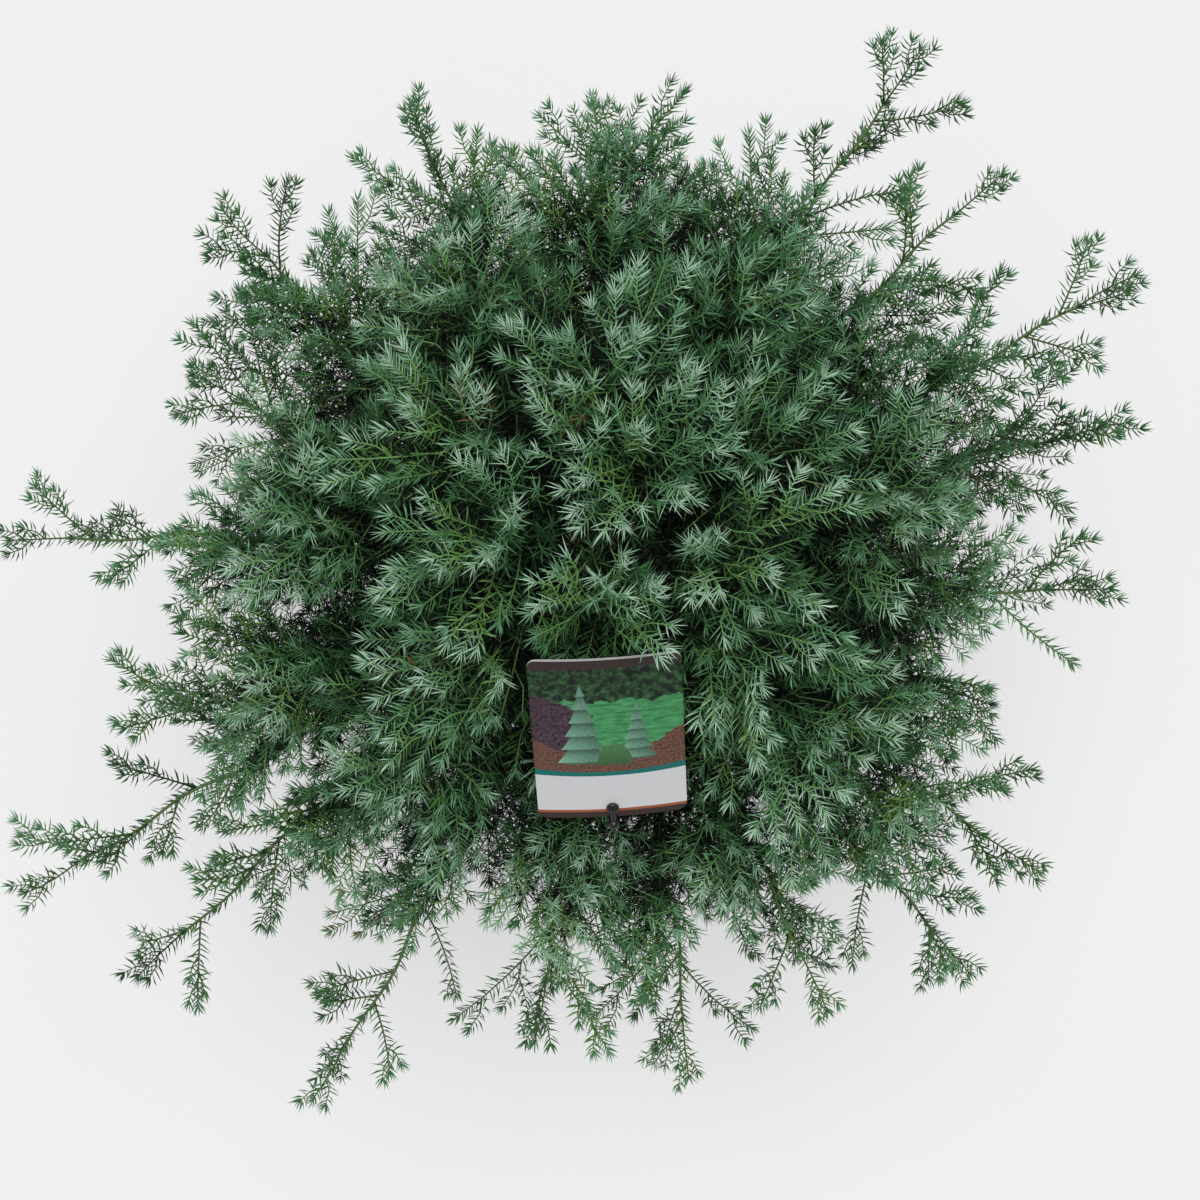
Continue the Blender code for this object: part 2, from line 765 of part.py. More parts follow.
def fit_spray(around, number, mass, t, turn, dice, taken):
    """The longest side spray that fits at share t of the limb, or none."""
    root = mass.limb.at(t)
    ahead = (1 - t) * mass.limb.length() + LEAST_SPRAY
    full = min(spray_length(root), ahead) * dice.uniform(*SPRAY_LENGTH_SPREAD)
    for share in SPRAY_FITS:
        length = max(LEAST_SPRAY, full * share)
        for attempt in range(ATTEMPTS):
            angle = SPRAY_ANGLE * dice.uniform(*SPRAY_ANGLE_SPREAD)
            step = (attempt + 1) // 2 * (1 if attempt % 2 else -1)
            way = side_way(mass, t, turn + step * TURN_STEP, angle)
            roll = math.radians(dice.uniform(-SPRAY_ROLL, SPRAY_ROLL))
            spray = Spray(root, way, roll, length)
            points = spray.test_points()
            outer = [p for p in points if (p - root).length > NEAR_ROOT * length]
            if any(taken.find(p)[2] < SPRAY_CLEAR for p in outer):
                continue
            if around.free(points, number):
                return spray, outer
    return None, []


def make_foliage(around, mass, number):
    """One mass: its stem, a spray at its tip, and sprays round the stem by a seeded rule."""
    dice = random.Random(SEED * 1000 + number)
    limb = mass.limb
    length = limb.length()
    last = 1 - TIP_SPRAY / length
    end = Spray(limb.at(last), (limb.at(1.0) - limb.at(last)).normalized(), 0.0, TIP_SPRAY)
    meshes = [stem_mesh(mass), end.mesh()]
    points = end.test_points()
    count = max(4, round((1 - mass.leafy) * length / SPRAY_SPACING))
    for k in range(count):
        t = mass.leafy + (last - mass.leafy) * (k + 0.5) / count
        turn = TURNS[(k + number) % len(TURNS)] + dice.uniform(-TURN_SPREAD, TURN_SPREAD)
        taken = tree_of([(point,) for point in points])
        spray, found = fit_spray(around, number, mass, t, math.radians(turn), dice, taken)
        if spray:
            meshes.append(spray.mesh())
            points += found
    union_of("foliage_" + limb.name, meshes, "foliage")


def build():
    """Clears the scene and makes the pot, the plant and the label."""
    for leftover in list(bpy.data.objects):
        bpy.data.objects.remove(leftover)
    limbs = all_limbs()
    masses = all_masses(limbs)
    around = Surroundings(masses)
    make_pot()
    make_mix()
    make_trunk()
    for limb in limbs:
        if limb.bough_share:
            make_bough(limb)
    for number, mass in enumerate(masses):
        make_foliage(around, mass, number)
    make_card()
    make_stick()


build()
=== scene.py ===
# %% [markdown]
# # A young sawara cypress in its nursery pot
# The plant is a low mound of soft needles, with long thin shoots that leave it all round. Seen from above
# it hides its pot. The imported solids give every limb, the space of each mass of foliage, the pot and the
# label. This lesson grows the finer twigs and the needles from the same limbs, gives bark, pot, potting
# mix and label their own surfaces, and then sets up a plain studio.

# %% The frame
import math
import random
from dataclasses import dataclass

import bpy
import numpy as np
from mathutils import Matrix, Vector, noise
from mathutils.kdtree import KDTree


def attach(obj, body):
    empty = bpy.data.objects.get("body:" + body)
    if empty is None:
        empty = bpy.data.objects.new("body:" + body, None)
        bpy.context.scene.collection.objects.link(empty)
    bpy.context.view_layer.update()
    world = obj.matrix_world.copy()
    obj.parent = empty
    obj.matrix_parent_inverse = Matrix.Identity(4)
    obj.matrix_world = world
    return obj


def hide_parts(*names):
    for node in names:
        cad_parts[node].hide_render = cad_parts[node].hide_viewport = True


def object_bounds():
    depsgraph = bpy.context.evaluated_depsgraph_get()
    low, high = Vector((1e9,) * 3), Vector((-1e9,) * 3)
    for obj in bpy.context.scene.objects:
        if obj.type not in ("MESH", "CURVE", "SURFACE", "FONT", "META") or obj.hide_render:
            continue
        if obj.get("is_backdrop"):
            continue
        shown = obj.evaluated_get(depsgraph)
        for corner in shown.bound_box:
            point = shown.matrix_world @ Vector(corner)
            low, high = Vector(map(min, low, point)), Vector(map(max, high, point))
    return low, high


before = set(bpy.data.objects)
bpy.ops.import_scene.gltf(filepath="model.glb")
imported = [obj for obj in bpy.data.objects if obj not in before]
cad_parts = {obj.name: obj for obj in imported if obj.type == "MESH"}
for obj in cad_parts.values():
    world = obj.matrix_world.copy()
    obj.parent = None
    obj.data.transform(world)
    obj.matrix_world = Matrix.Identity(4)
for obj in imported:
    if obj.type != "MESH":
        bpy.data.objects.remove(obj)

cad_box = [list(corner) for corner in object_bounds()]
print("box of the solids, in metres:", cad_box)

# %% [markdown]
# ## Many small shapes in one mesh
# A shrub has more than a hundred thousand needles. An object for each would choke Blender, and instances
# are lost in an export. So all needles of one part of the crown become one mesh. A bundle gathers arrays
# of points and triangles, with a finish for each triangle, and writes them to the mesh in one go.

# %% A bundle of closed shapes
def placed(name, data):
    """An object with this data, put in the scene."""
    made = bpy.data.objects.new(name, data)
    bpy.context.scene.collection.objects.link(made)
    return made


class Bundle:
    """Points, triangles and the number of each triangle's finish, gathered for one mesh."""

    def __init__(self):
        self.points, self.faces, self.slots, self.count = [], [], [], 0

    def add(self, points, faces, slots=0):
        """More points, triangles between them, and one finish number for all or one for each."""
        points = np.asarray(points, np.float64).reshape(-1, 3)
        faces = np.asarray(faces, np.int64).reshape(-1, 3)
        self.points.append(points)
        self.faces.append(faces + self.count)
        self.slots.append(np.broadcast_to(slots, len(faces)))
        self.count += len(points)

    def piece(self, name, finishes, slot, replaced=(), smooth=False):
        """Makes the mesh, lets it ride on the plant, and hides the solids that it stands for."""
        points = np.concatenate(self.points).astype(np.float32)
        faces = np.concatenate(self.faces).astype(np.int32)
        mesh = bpy.data.meshes.new(name)
        mesh.vertices.add(len(points))
        mesh.vertices.foreach_set("co", points.ravel())
        mesh.loops.add(faces.size)
        mesh.loops.foreach_set("vertex_index", faces.ravel())
        mesh.polygons.add(len(faces))
        mesh.polygons.foreach_set("loop_start", np.arange(0, faces.size, 3, dtype=np.int32))
        mesh.polygons.foreach_set("material_index", np.concatenate(self.slots).astype(np.int32))
        mesh.update(calc_edges=True)
        mesh.validate()
        if smooth:
            mesh.shade_smooth()
        else:
            mesh.shade_flat()
        for finish in finishes:
            mesh.materials.append(finish)
        made = placed(name, mesh)
        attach(made, "root")
        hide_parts(*replaced)
        print(f"{name}: {len(faces)} triangles for {len(replaced)} solids")
        return made


def unit(vectors):
    """Each row of an array, one long."""
    return vectors / np.maximum(np.linalg.norm(vectors, axis=-1, keepdims=True), 1e-12)


# %% [markdown]
# ## Shader maths as Python
# A procedural finish is a small sum: where noise is high the bark is pale, and where a band of the label
# starts the print changes. Drawing that with nodes by hand takes many Math nodes. Here a wire wraps a
# socket, so that `1 - mask` or `mask * height` adds the node that works it out.

# %% A wire
class Wire:
    """One value in a finish's node tree, with Python's operators."""

    def __init__(self, finish, socket):
        self.finish, self.socket = finish, socket

    def maths(self, operation, *values):
        """A Math node on this value and others."""
        sockets = dict(enumerate(values))
        return self.finish.node("ShaderNodeMath", {"operation": operation}, sockets)

    def __add__(self, other):
        return self.maths("ADD", self, other)

    def __sub__(self, other):
        return self.maths("SUBTRACT", self, other)

    def __rsub__(self, other):
        return self.maths("SUBTRACT", other, self)

    def __mul__(self, other):
        return self.maths("MULTIPLY", self, other)

    def __truediv__(self, other):
        return self.maths("DIVIDE", self, other)

    __radd__ = __add__
    __rmul__ = __mul__

    def above(self, level):
        """1 where this value is above a level."""
        return self.maths("GREATER_THAN", self, level)

    def below(self, level):
        """1 where this value is below a level."""
        return self.maths("LESS_THAN", self, level)

    def size(self):
        """The value without its sign."""
        return self.maths("ABSOLUTE", self)

    def steep(self, low, high):
        """0 under low, 1 over high, and a straight way between."""
        sockets = {0: self, 1: low, 2: high}
        return self.finish.node("ShaderNodeMapRange", {"clamp": True}, sockets, "Result")


# %% A finish
class Finish:
    """A material with its Principled shader, and one way to add any other node."""

    def __init__(self, name, colour, roughness, more=()):
        self.material = bpy.data.materials.new(name)
        self.material.use_nodes = True
        self.material.diffuse_color = (*colour, 1)
        self.tree = self.material.node_tree
        self.shader = self.tree.nodes["Principled BSDF"]
        self.give(self.shader, {"Base Color": colour, "Roughness": roughness})
        self.give(self.shader, dict(more))

    def give(self, node, sockets):
        """Sets or links a node's sockets."""
        for key, value in sockets.items():
            if isinstance(value, Wire):
                self.tree.links.new(value.socket, node.inputs[key])
            elif isinstance(value, tuple) and node.inputs[key].type == "RGBA":
                node.inputs[key].default_value = (*value[:3], 1)
            else:
                node.inputs[key].default_value = value

    def node(self, kind, settings=(), sockets=(), output=0):
        """Adds a node, with its settings first, and gives one of its outputs."""
        made = self.tree.nodes.new(kind)
        for key, value in dict(settings).items():
            if key == "stops":
                self.set_stops(made.color_ramp, value)
            else:
                setattr(made, key, value)
        self.give(made, dict(sockets))
        return Wire(self, made.outputs[output])

    def set_stops(self, ramp, stops):
        """A colour ramp's stops: places and colours."""
        for place, colour in stops[len(ramp.elements):]:
            ramp.elements.new(place)
        for element, (place, colour) in zip(ramp.elements, stops):
            element.position = place
            element.color = (*colour, 1)

    def blend(self, share, low, high):
        """A colour between two, by a share."""
        return self.node("ShaderNodeMix", {"data_type": "RGBA"}, {0: share, 6: low, 7: high}, 2)

    def stretch(self, place, scale):
        """A place with each axis stretched."""
        return self.node("ShaderNodeMapping", {}, {"Vector": place, "Scale": scale})

    def place(self, scale=(1, 1, 1)):
        """Where a point of the piece lies, with each axis stretched."""
        return self.stretch(self.node("ShaderNodeTexCoord", {}, {}, "Object"), scale)

    def axis(self, place, name):
        """One coordinate of a place."""
        return self.node("ShaderNodeSeparateXYZ", {}, {"Vector": place}, name)

    def grain(self, place, scale, detail=3.0, roughness=0.55):
        """Fractal noise, mostly from 0.3 to 0.7."""
        sockets = {"Vector": place, "Scale": scale, "Detail": detail, "Roughness": roughness}
        return self.node("ShaderNodeTexNoise", {}, sockets, 0)

    def coat(self, colour, roughness):
        """A base colour and a roughness that change over the surface."""
        self.give(self.shader, {"Base Color": colour, "Roughness": roughness})

    def bump(self, height, depth, strength=1.0):
        """A relief of the given depth in metres."""
        sockets = {"Height": height, "Distance": depth, "Strength": strength}
        self.give(self.shader, {"Normal": self.node("ShaderNodeBump", {}, sockets, "Normal")})


# %% [markdown]
# ## Limbs
# Every limb of the real shrub is one springy arc: it leaves the trunk, rises a little and bows down to
# its tip. A list of azimuth, reach and height of the tips is all that is needed, because a function draws
# the arc. These are the named sizes of the solids, so that the finer growth starts where the solids are.

# %% Sizes of trunk, limbs and label
GAP = 0.0003
POT_HEIGHT, POT_TOP_RADIUS, POT_FOOT_RADIUS = 0.145, 0.082, 0.064
POT_WALL, POT_FLOOR, RIM_HEIGHT, RIM_STAND_OUT = 0.002, 0.003, 0.012, 0.003
MIX_TOP = 0.130
TRUNK_FOOT, TRUNK_TOP = MIX_TOP + GAP, Vector((0.010, 0.026, 0.335))
TRUNK_RADIUS, TRUNK_TIP_RADIUS = 0.0072, 0.0019
ROOT_FLARE, ROOT_FLARE_HEIGHT = 1.75, 0.012
BOUGH_RADIUS, BOUGH_TIP_RADIUS, STEM_RADIUS = 0.0027, 0.0018, 0.0019
LIMB_LIFT, LIMB_SWAY, SWAY_RATE, TRUNK_BEND = 0.024, 0.010, 7.3, 1.4
LOW_LIMBS = (
    (15, 0.241, 0.210), (28, 0.261, 0.240), (44, 0.250, 0.196), (58, 0.262, 0.232), (74, 0.190, 0.166),
    (91, 0.197, 0.236), (112, 0.221, 0.200), (137, 0.223, 0.234), (155, 0.206, 0.168), (178, 0.260, 0.216),
    (199, 0.216, 0.240), (210, 0.298, 0.192), (222, 0.271, 0.222), (242, 0.276, 0.182), (262, 0.212, 0.218),
    (280, 0.238, 0.178), (297, 0.220, 0.220), (312, 0.250, 0.186), (325, 0.232, 0.230), (340, 0.192, 0.164),
    (357, 0.223, 0.222),
)
MIDDLE_LIMBS = (
    (8, 0.142, 0.286), (62, 0.140, 0.292), (118, 0.140, 0.298), (172, 0.142, 0.288), (228, 0.138, 0.276),
    (318, 0.138, 0.280),
)
TOP_LIMBS = ((36, 0.088, 0.356), (142, 0.086, 0.362), (218, 0.078, 0.348), (322, 0.076, 0.346))
CROWN_LIMBS = ((266, 0.036, 0.386), (184, 0.054, 0.380), (356, 0.058, 0.376), (98, 0.078, 0.378))
TIERS = (
    ("low", LOW_LIMBS, (0.146, 0.164, 0.152, 0.172, 0.158, 0.178), 0.25),
    ("middle", MIDDLE_LIMBS, (0.190, 0.207, 0.198), 0.0),
    ("top", TOP_LIMBS, (0.232, 0.250, 0.241, 0.259), 0.0),
    ("crown", CROWN_LIMBS, (0.270, 0.262, 0.282, 0.290), 0.0),
)
LOW_BOUGH_SHARE, LEAST_BOUGH_REACH = 0.25, 0.210
LEADER_TIP = Vector((0.016, 0.040, 0.404))
CARD_WIDTH, CARD_LENGTH, CARD_THICKNESS, CARD_BOW, CARD_CORNER = 0.0605, 0.082, 0.0008, 0.0022, 0.004
CARD_TILT, CARD_TURN = math.radians(37.5), math.radians(3.5)
CARD_FOOT = Vector((0.0053, -0.1031, 0.305))
STICK_RADIUS, STICK_BALL, STICK_FOOT = 0.0016, 0.0024, Vector((0.003, -0.046, 0.090))


# %% A limb and a mass of foliage
ARC_STEPS, STEEP = 16, 0.94


@dataclass
class Limb:
    """One arc from the trunk to a tip. Up to bough_share of its way it is a bare bough."""

    name: str
    start: Vector
    control: Vector
    tip: Vector
    bough_share: float

    def at(self, t):
        return (1 - t) ** 2 * self.start + 2 * t * (1 - t) * self.control + t * t * self.tip

    def heading(self, t):
        return ((1 - t) * (self.control - self.start) + t * (self.tip - self.control)).normalized()

    def length(self):
        points = [self.at(k / ARC_STEPS) for k in range(ARC_STEPS + 1)]
        return sum((b - a).length for a, b in zip(points, points[1:]))


@dataclass
class Mass:
    """The foliage on the outer part of one limb: where its stem and its sprays start."""

    limb: Limb
    first: float
    leafy: float


def smooth_step(value, low, high):
    share = min(1.0, max(0.0, (value - low) / (high - low)))
    return share * share * (3 - 2 * share)


def side_frame(heading):
    """Two unit vectors across a heading: one level, one as upright as it can be."""
    reference = Vector((0, 0, 1)) if abs(heading.z) < STEEP else Vector((0, 1, 0))
    level = heading.cross(reference).normalized()
    return level, level.cross(heading).normalized()


def circle(middle, radius, heading, sides):
    """Points on a circle round a middle, across a heading."""
    level, upright = side_frame(heading)
    turns = [2 * math.pi * k / sides for k in range(sides)]
    return [middle + radius * (math.cos(a) * level + math.sin(a) * upright) for a in turns]


# %% The trunk's line and the arcs of the limbs
CLEAR_STEP = 0.001


def trunk_share(height):
    return (height - TRUNK_FOOT) / (TRUNK_TOP.z - TRUNK_FOOT)


def trunk_axis(height):
    bend = max(0.0, trunk_share(height)) ** TRUNK_BEND
    return Vector((TRUNK_TOP.x * bend, TRUNK_TOP.y * bend, height))


def trunk_radius(height):
    taper = TRUNK_RADIUS + (TRUNK_TIP_RADIUS - TRUNK_RADIUS) * trunk_share(height)
    flare = math.exp(-(height - TRUNK_FOOT) / ROOT_FLARE_HEIGHT)
    return taper * (1 + (ROOT_FLARE - 1) * flare)


def grow_limb(name, azimuth, reach, tip_height, start_height, bough_share):
    angle = math.radians(azimuth)
    outward = Vector((math.cos(angle), math.sin(angle), 0))
    sideways = Vector((-outward.y, outward.x, 0))
    start = trunk_axis(start_height)
    tip = outward * reach + Vector((0, 0, tip_height))
    sway = LIMB_SWAY * math.sin(azimuth * SWAY_RATE)
    control = (start + tip) / 2 + Vector((0, 0, LIMB_LIFT)) + sideways * sway
    return Limb(name, start, control, tip, bough_share)


def all_limbs():
    limbs = []
    for tier, rows, starts, share in TIERS:
        for number, (azimuth, reach, height) in enumerate(rows):
            bare = 0.0 if tier == "low" and reach < LEAST_BOUGH_REACH else share
            start = starts[number % len(starts)]
            limbs.append(grow_limb(f"{tier}_{number + 1:02d}", azimuth, reach, height, start, bare))
    limbs.append(Limb("leader", TRUNK_TOP.copy(), (TRUNK_TOP + LEADER_TIP) / 2, LEADER_TIP, 0.0))
    return limbs


def first_clear(limb):
    """The share of the arc at which a three-sided stem's end is just clear of the trunk."""
    if limb.name == "leader":
        return GAP / limb.length()
    t = 0.0
    while True:
        end = circle(limb.at(t), STEM_RADIUS, limb.heading(t), 3)
        if min((p - trunk_axis(p.z)).to_2d().length - trunk_radius(p.z) for p in end) >= GAP:
            return t
        t += CLEAR_STEP


def all_masses(limbs):
    masses = []
    for limb in limbs:
        first = limb.bough_share + GAP / limb.length() if limb.bough_share else first_clear(limb)
        leafy = max(first, LOW_BOUGH_SHARE if limb.name.startswith("low") else first)
        masses.append(Mass(limb, first, leafy))
    return masses


limbs = all_limbs()
masses = all_masses(limbs)
print(len(limbs), "limbs, from", limbs[0].name, "to", limbs[-1].name)

# %% [markdown]
# ## Room for each mass
# On a real shrub the shoots share the light: each fills the room that is nearer to it than to its
# neighbours. A search tree of points along all limbs answers whose room a point is in. More points on the
# trunk, the label's stick and the card keep foliage from growing through them.

# %% Where the label is
def card_matrix():
    """From the card's own plane (x across, y up its length, z out of its face) to the plant."""
    turn = Matrix.Rotation(CARD_TURN, 4, "Z") @ Matrix.Rotation(CARD_TILT, 4, "X")
    return Matrix.Translation(CARD_FOOT) @ turn


def card_bow(x):
    """How far the card's middle stands out of the plane of its long edges, at x."""
    return CARD_BOW * (1 - (2 * x / CARD_WIDTH) ** 2)


def stick_top():
    """The middle of the ball on the stick, just below the card's lower edge."""
    return card_matrix() @ Vector((0, -STICK_BALL - 2 * GAP, card_bow(0) + STICK_BALL * 0.7))


# %% Whose room a point is in
LIMB_CLEAR, STICK_CLEAR, TRUNK_CLEAR, CARD_CLEAR = 0.0038, 0.0045, 0.0015, 0.0050
POT_CLEAR, CELL_MARGIN, SAMPLE_STEP = 0.0025, 0.0005, 0.003


def steps_between(low, high):
    count = math.ceil((high - low) / SAMPLE_STEP)
    return [low + (high - low) * k / count for k in range(count + 1)]


def tree_of(samples):
    tree = KDTree(len(samples))
    for index, sample in enumerate(samples):
        tree.insert(sample[0], index)
    tree.balance()
    return tree


class Surroundings:
    """Where the limbs, the trunk and the label are. Each sample is a place, the clear space round it,
    the mass that may touch it and the mass whose limb it lies on."""

    def __init__(self, masses):
        samples = []
        for number, mass in enumerate(masses):
            count = int(mass.limb.length() / SAMPLE_STEP)
            for t in (k / count for k in range(count + 1)):
                owner = number if t >= mass.first else None
                samples.append((mass.limb.at(t), LIMB_CLEAR, owner, number))
        for height in steps_between(TRUNK_FOOT, TRUNK_TOP.z):
            samples.append((trunk_axis(height), trunk_radius(height) + TRUNK_CLEAR, None, None))
        top = stick_top()
        for height in steps_between(STICK_FOOT.z, top.z):
            share = (height - STICK_FOOT.z) / (top.z - STICK_FOOT.z)
            samples.append((STICK_FOOT.lerp(top, share), STICK_CLEAR, None, None))
        for x in steps_between(-CARD_WIDTH / 2, CARD_WIDTH / 2):
            for y in steps_between(0, CARD_LENGTH):
                samples.append((card_matrix() @ Vector((x, y, card_bow(x))), CARD_CLEAR, None, None))
        self.samples = samples
        self.widest = max(sample[1] for sample in samples)
        self.tree = tree_of(samples)
        self.limb_samples = [sample for sample in samples if sample[3] is not None]
        self.limb_tree = tree_of(self.limb_samples)

    def in_space(self, point, number):
        nearest = self.limb_tree.find(point)[2]
        for _, index, _ in self.limb_tree.find_range(point, nearest + 2 * CELL_MARGIN):
            if self.limb_samples[index][3] != number:
                return False
        beside = point.to_2d().length > POT_TOP_RADIUS + RIM_STAND_OUT + POT_CLEAR
        return beside or point.z > POT_HEIGHT + POT_CLEAR

    def touches(self, point, number):
        for _, index, distance in self.tree.find_range(point, self.widest):
            _, clearance, owner, _ = self.samples[index]
            if owner != number and distance < clearance:
                return True
        return False

    def free(self, points, number):
        return all(self.in_space(p, number) and not self.touches(p, number) for p in points)


around = Surroundings(masses)
print(len(around.samples), "samples of limbs, trunk and label")

# %% [markdown]
# ## Sprays
# Along its stem a sawara cypress bears flat sprays, mostly to the two sides. Inside the round crown they
# grow long, and on a shoot that leaves it they stay short. Each spray here has the root, heading, turn
# and length that the solid's blade has, worked out by the same seeded rule. Where one doesn't fit it is
# turned on, and then tried again shorter. Further rounds set shorter sprays between those of the first.

# %% The lie of a spray
CROWN_RADIUS, CROWN_EDGE = 0.170, 0.030
BUSH_SPRAY, SHOOT_SPRAY, LEAST_SPRAY, TIP_SPRAY = 0.068, 0.036, 0.022, 0.029
STALK_SHARE, TEETH, TOOTH_STEP, TOOTH_LENGTH, TOOTH_SHRINK = 0.14, 4, 0.175, 0.38, 0.10
TOOTH_BASE, TOOTH_ANGLE, RIB_SHARE, STALK_WIDTH, RIDGE_ROOT = 0.11, math.radians(47), 0.040, 0.0007, 0.0011


def spray_length(point):
    out = smooth_step(point.to_2d().length, CROWN_RADIUS - CROWN_EDGE, CROWN_RADIUS + CROWN_EDGE)
    return BUSH_SPRAY + (SHOOT_SPRAY - BUSH_SPRAY) * out


def on_long_shoot(point):
    """Whether a point of a stem is outside the round crown."""
    return spray_length(point) < 0.5 * (BUSH_SPRAY + SHOOT_SPRAY)


def spray_plan(length):
    """The points of the left and right edges of the solid's blade, and the places along its ridge."""
    sides = ([(0.0, STALK_WIDTH)], [(0.0, STALK_WIDTH)])
    ridge = [0.0]
    for k in range(TEETH):
        foot = length * (STALK_SHARE + TOOTH_STEP * k)
        tooth = length * TOOTH_LENGTH * (1 - TOOTH_SHRINK * k)
        tip = (foot + tooth * math.cos(TOOTH_ANGLE), tooth * math.sin(TOOTH_ANGLE))
        sides[k % 2].extend((tip, (foot + length * TOOTH_BASE, length * RIB_SHARE)))
        ridge.append(foot + length * TOOTH_BASE * 0.5)
    return sides[0], sides[1], ridge


class Spray:
    """The lie of one spray: its root, its heading, the way its face looks and its length."""

    def __init__(self, root, way, roll, length):
        level, upright = side_frame(way)
        self.face = (math.cos(roll) * upright + math.sin(roll) * level).normalized()
        self.across = way.cross(self.face).normalized()
        self.root = root - self.face * (RIDGE_ROOT * 0.5)
        self.way = way
        self.length = length

    def place(self, x, y, rise=0.0):
        return self.root + self.way * x + self.across * y + self.face * rise

    def test_points(self):
        left, right, ridge = spray_plan(self.length)
        edge = [self.place(x, y) for x, y in left[1:]] + [self.place(self.length, 0)]
        edge += [self.place(x, -y) for x, y in reversed(right[1:])]
        found = [self.place(x, 0) for x in steps_between(ridge[1], self.length)]
        for a, b in zip(edge, edge[1:]):
            count = max(1, math.ceil((b - a).length / SAMPLE_STEP))
            found.extend(a.lerp(b, k / count) for k in range(count + 1))
        return found


# %% The source's rule for fitting sprays
SPRAY_ANGLE, SPRAY_ROLL, UPLIFT, NEAR_ROOT = math.radians(50), 36, 0.12, 0.3
TURN_STEP, ATTEMPTS = math.radians(24), 7
FULL_SPREAD, ANGLE_SPREAD = (0.9, 1.12), (0.8, 1.15)


def side_way(mass, t, turn, angle):
    heading = mass.limb.heading(t)
    level, upright = side_frame(heading)
    across = math.cos(turn) * upright + math.sin(turn) * level
    way = math.cos(angle) * heading + math.sin(angle) * across
    return (way + Vector((0, 0, UPLIFT))).normalized()


def fit_spray(number, mass, t, turn, dice, taken, fits, clear, steep):
    """The longest side spray that fits at share t of the limb, or none."""
    root = mass.limb.at(t)
    ahead = (1 - t) * mass.limb.length() + LEAST_SPRAY
    full = min(spray_length(root), ahead) * dice.uniform(*FULL_SPREAD)
    for share in fits:
        length = max(LEAST_SPRAY, full * share)
        for attempt in range(ATTEMPTS):
            angle = SPRAY_ANGLE * steep * dice.uniform(*ANGLE_SPREAD)
            step = (attempt + 1) // 2 * (1 if attempt % 2 else -1)
            way = side_way(mass, t, turn + step * TURN_STEP, angle)
            roll = math.radians(dice.uniform(-SPRAY_ROLL, SPRAY_ROLL))
            spray = Spray(root, way, roll, length)
            points = spray.test_points()
            outer = [p for p in points if (p - root).length > NEAR_ROOT * length]
            if any(taken.find(p)[2] < clear for p in outer):
                continue
            if around.free(points, number):
                return spray, outer
    return None, []


# %% Sprays of all masses
SEED, SPRAY_SPACING, SPRAY_CLEAR = 41, 0.0198, 0.0022
TURNS, TURN_SPREAD, SPRAY_FITS = (90, 270, 10, 80, 280, 180), 26, (1.0, 0.84, 0.70, 0.58, 0.46)
# A round has the sizes that are tried, the clear space to other sprays, the place along the stem, how
# often a spray grows on a long shoot outside the crown, the turn of all its sprays or none, how much
# steeper they stand, and the distances from the middle of the plant between which they start
MORE_ROUNDS = (
    ((0.74, 0.58, 0.44), 0.0016, 1.0, 0.55, None, 1.0, (0, 1)),
    ((0.62, 0.48, 0.36), 0.0012, 0.25, 0.10, None, 1.0, (0, 1)),
    ((0.60, 0.46, 0.34), 0.0014, 0.75, 0.0, 0, 1.35, (0, 1)),
    ((0.66, 0.52, 0.40), 0.0010, 0.5, 0.0, None, 0.8, (0, 0.150)),
    ((0.62, 0.50, 0.38), 0.0010, 0.9, 0.0, 0, 1.1, (0, 0.150)),
    ((0.64, 0.52, 0.40), 0.0008, 0.15, 0.0, 90, 1.6, (0.080, 0.150)),
    ((0.64, 0.52, 0.40), 0.0008, 0.65, 0.0, 270, 1.6, (0.080, 0.150)),
    ((0.46, 0.36), 0.0010, 0.12, 0.0, 0, 2.1, (0, 0.045)),
    ((0.80, 0.64, 0.50), 0.0010, 0.6, 0.0, 180, 1.1, (0.03, 0.125)),
    ((0.72, 0.58, 0.46, 0.36), 0.0008, 0.3, 0.0, None, 1.3, (0.07, 0.135)),
    ((0.64, 0.50, 0.38), 0.0008, 0.85, 0.0, 180, 0.8, (0.07, 0.130)),
)


def last_place(mass):
    """The share of a mass's limb at which the spray at its tip starts."""
    return 1 - TIP_SPRAY / mass.limb.length()


def grow_sprays(mass, number):
    """(share of the limb, spray) for the tip, the source's sprays and those of the further rounds."""
    dice = random.Random(SEED * 1000 + number)
    length, last = mass.limb.length(), last_place(mass)
    foot = mass.limb.at(last)
    end = Spray(foot, (mass.limb.at(1.0) - foot).normalized(), 0.0, TIP_SPRAY)
    grown, points = [(last, end)], end.test_points()
    count = max(4, round((1 - mass.leafy) * length / SPRAY_SPACING))
    rounds = ((SPRAY_FITS, SPRAY_CLEAR, 0.5, 1.0, None, 1.0, (0, 1)), *MORE_ROUNDS)
    for order, (fits, clear, offset, often, fixed_turn, steep, (near, far)) in enumerate(rounds):
        for k in range(count):
            t = mass.leafy + (last - mass.leafy) * (k + offset) / count
            turn = TURNS[(k + number + order) % len(TURNS)] if fixed_turn is None else fixed_turn
            turn = math.radians(turn + dice.uniform(-TURN_SPREAD, TURN_SPREAD))
            if order and on_long_shoot(mass.limb.at(t)) and dice.random() > often:
                continue
            if not near <= mass.limb.at(t).to_2d().length <= far:
                continue
            taken = tree_of([(point,) for point in points])
            spray, found = fit_spray(number, mass, t, turn, dice, taken, fits, clear, steep)
            if spray:
                grown.append((t, spray))
                points += found
    return grown


sprays = [grow_sprays(mass, number) for number, mass in enumerate(masses)]
print(sum(len(grown) for grown in sprays), "sprays on", len(masses), "masses")

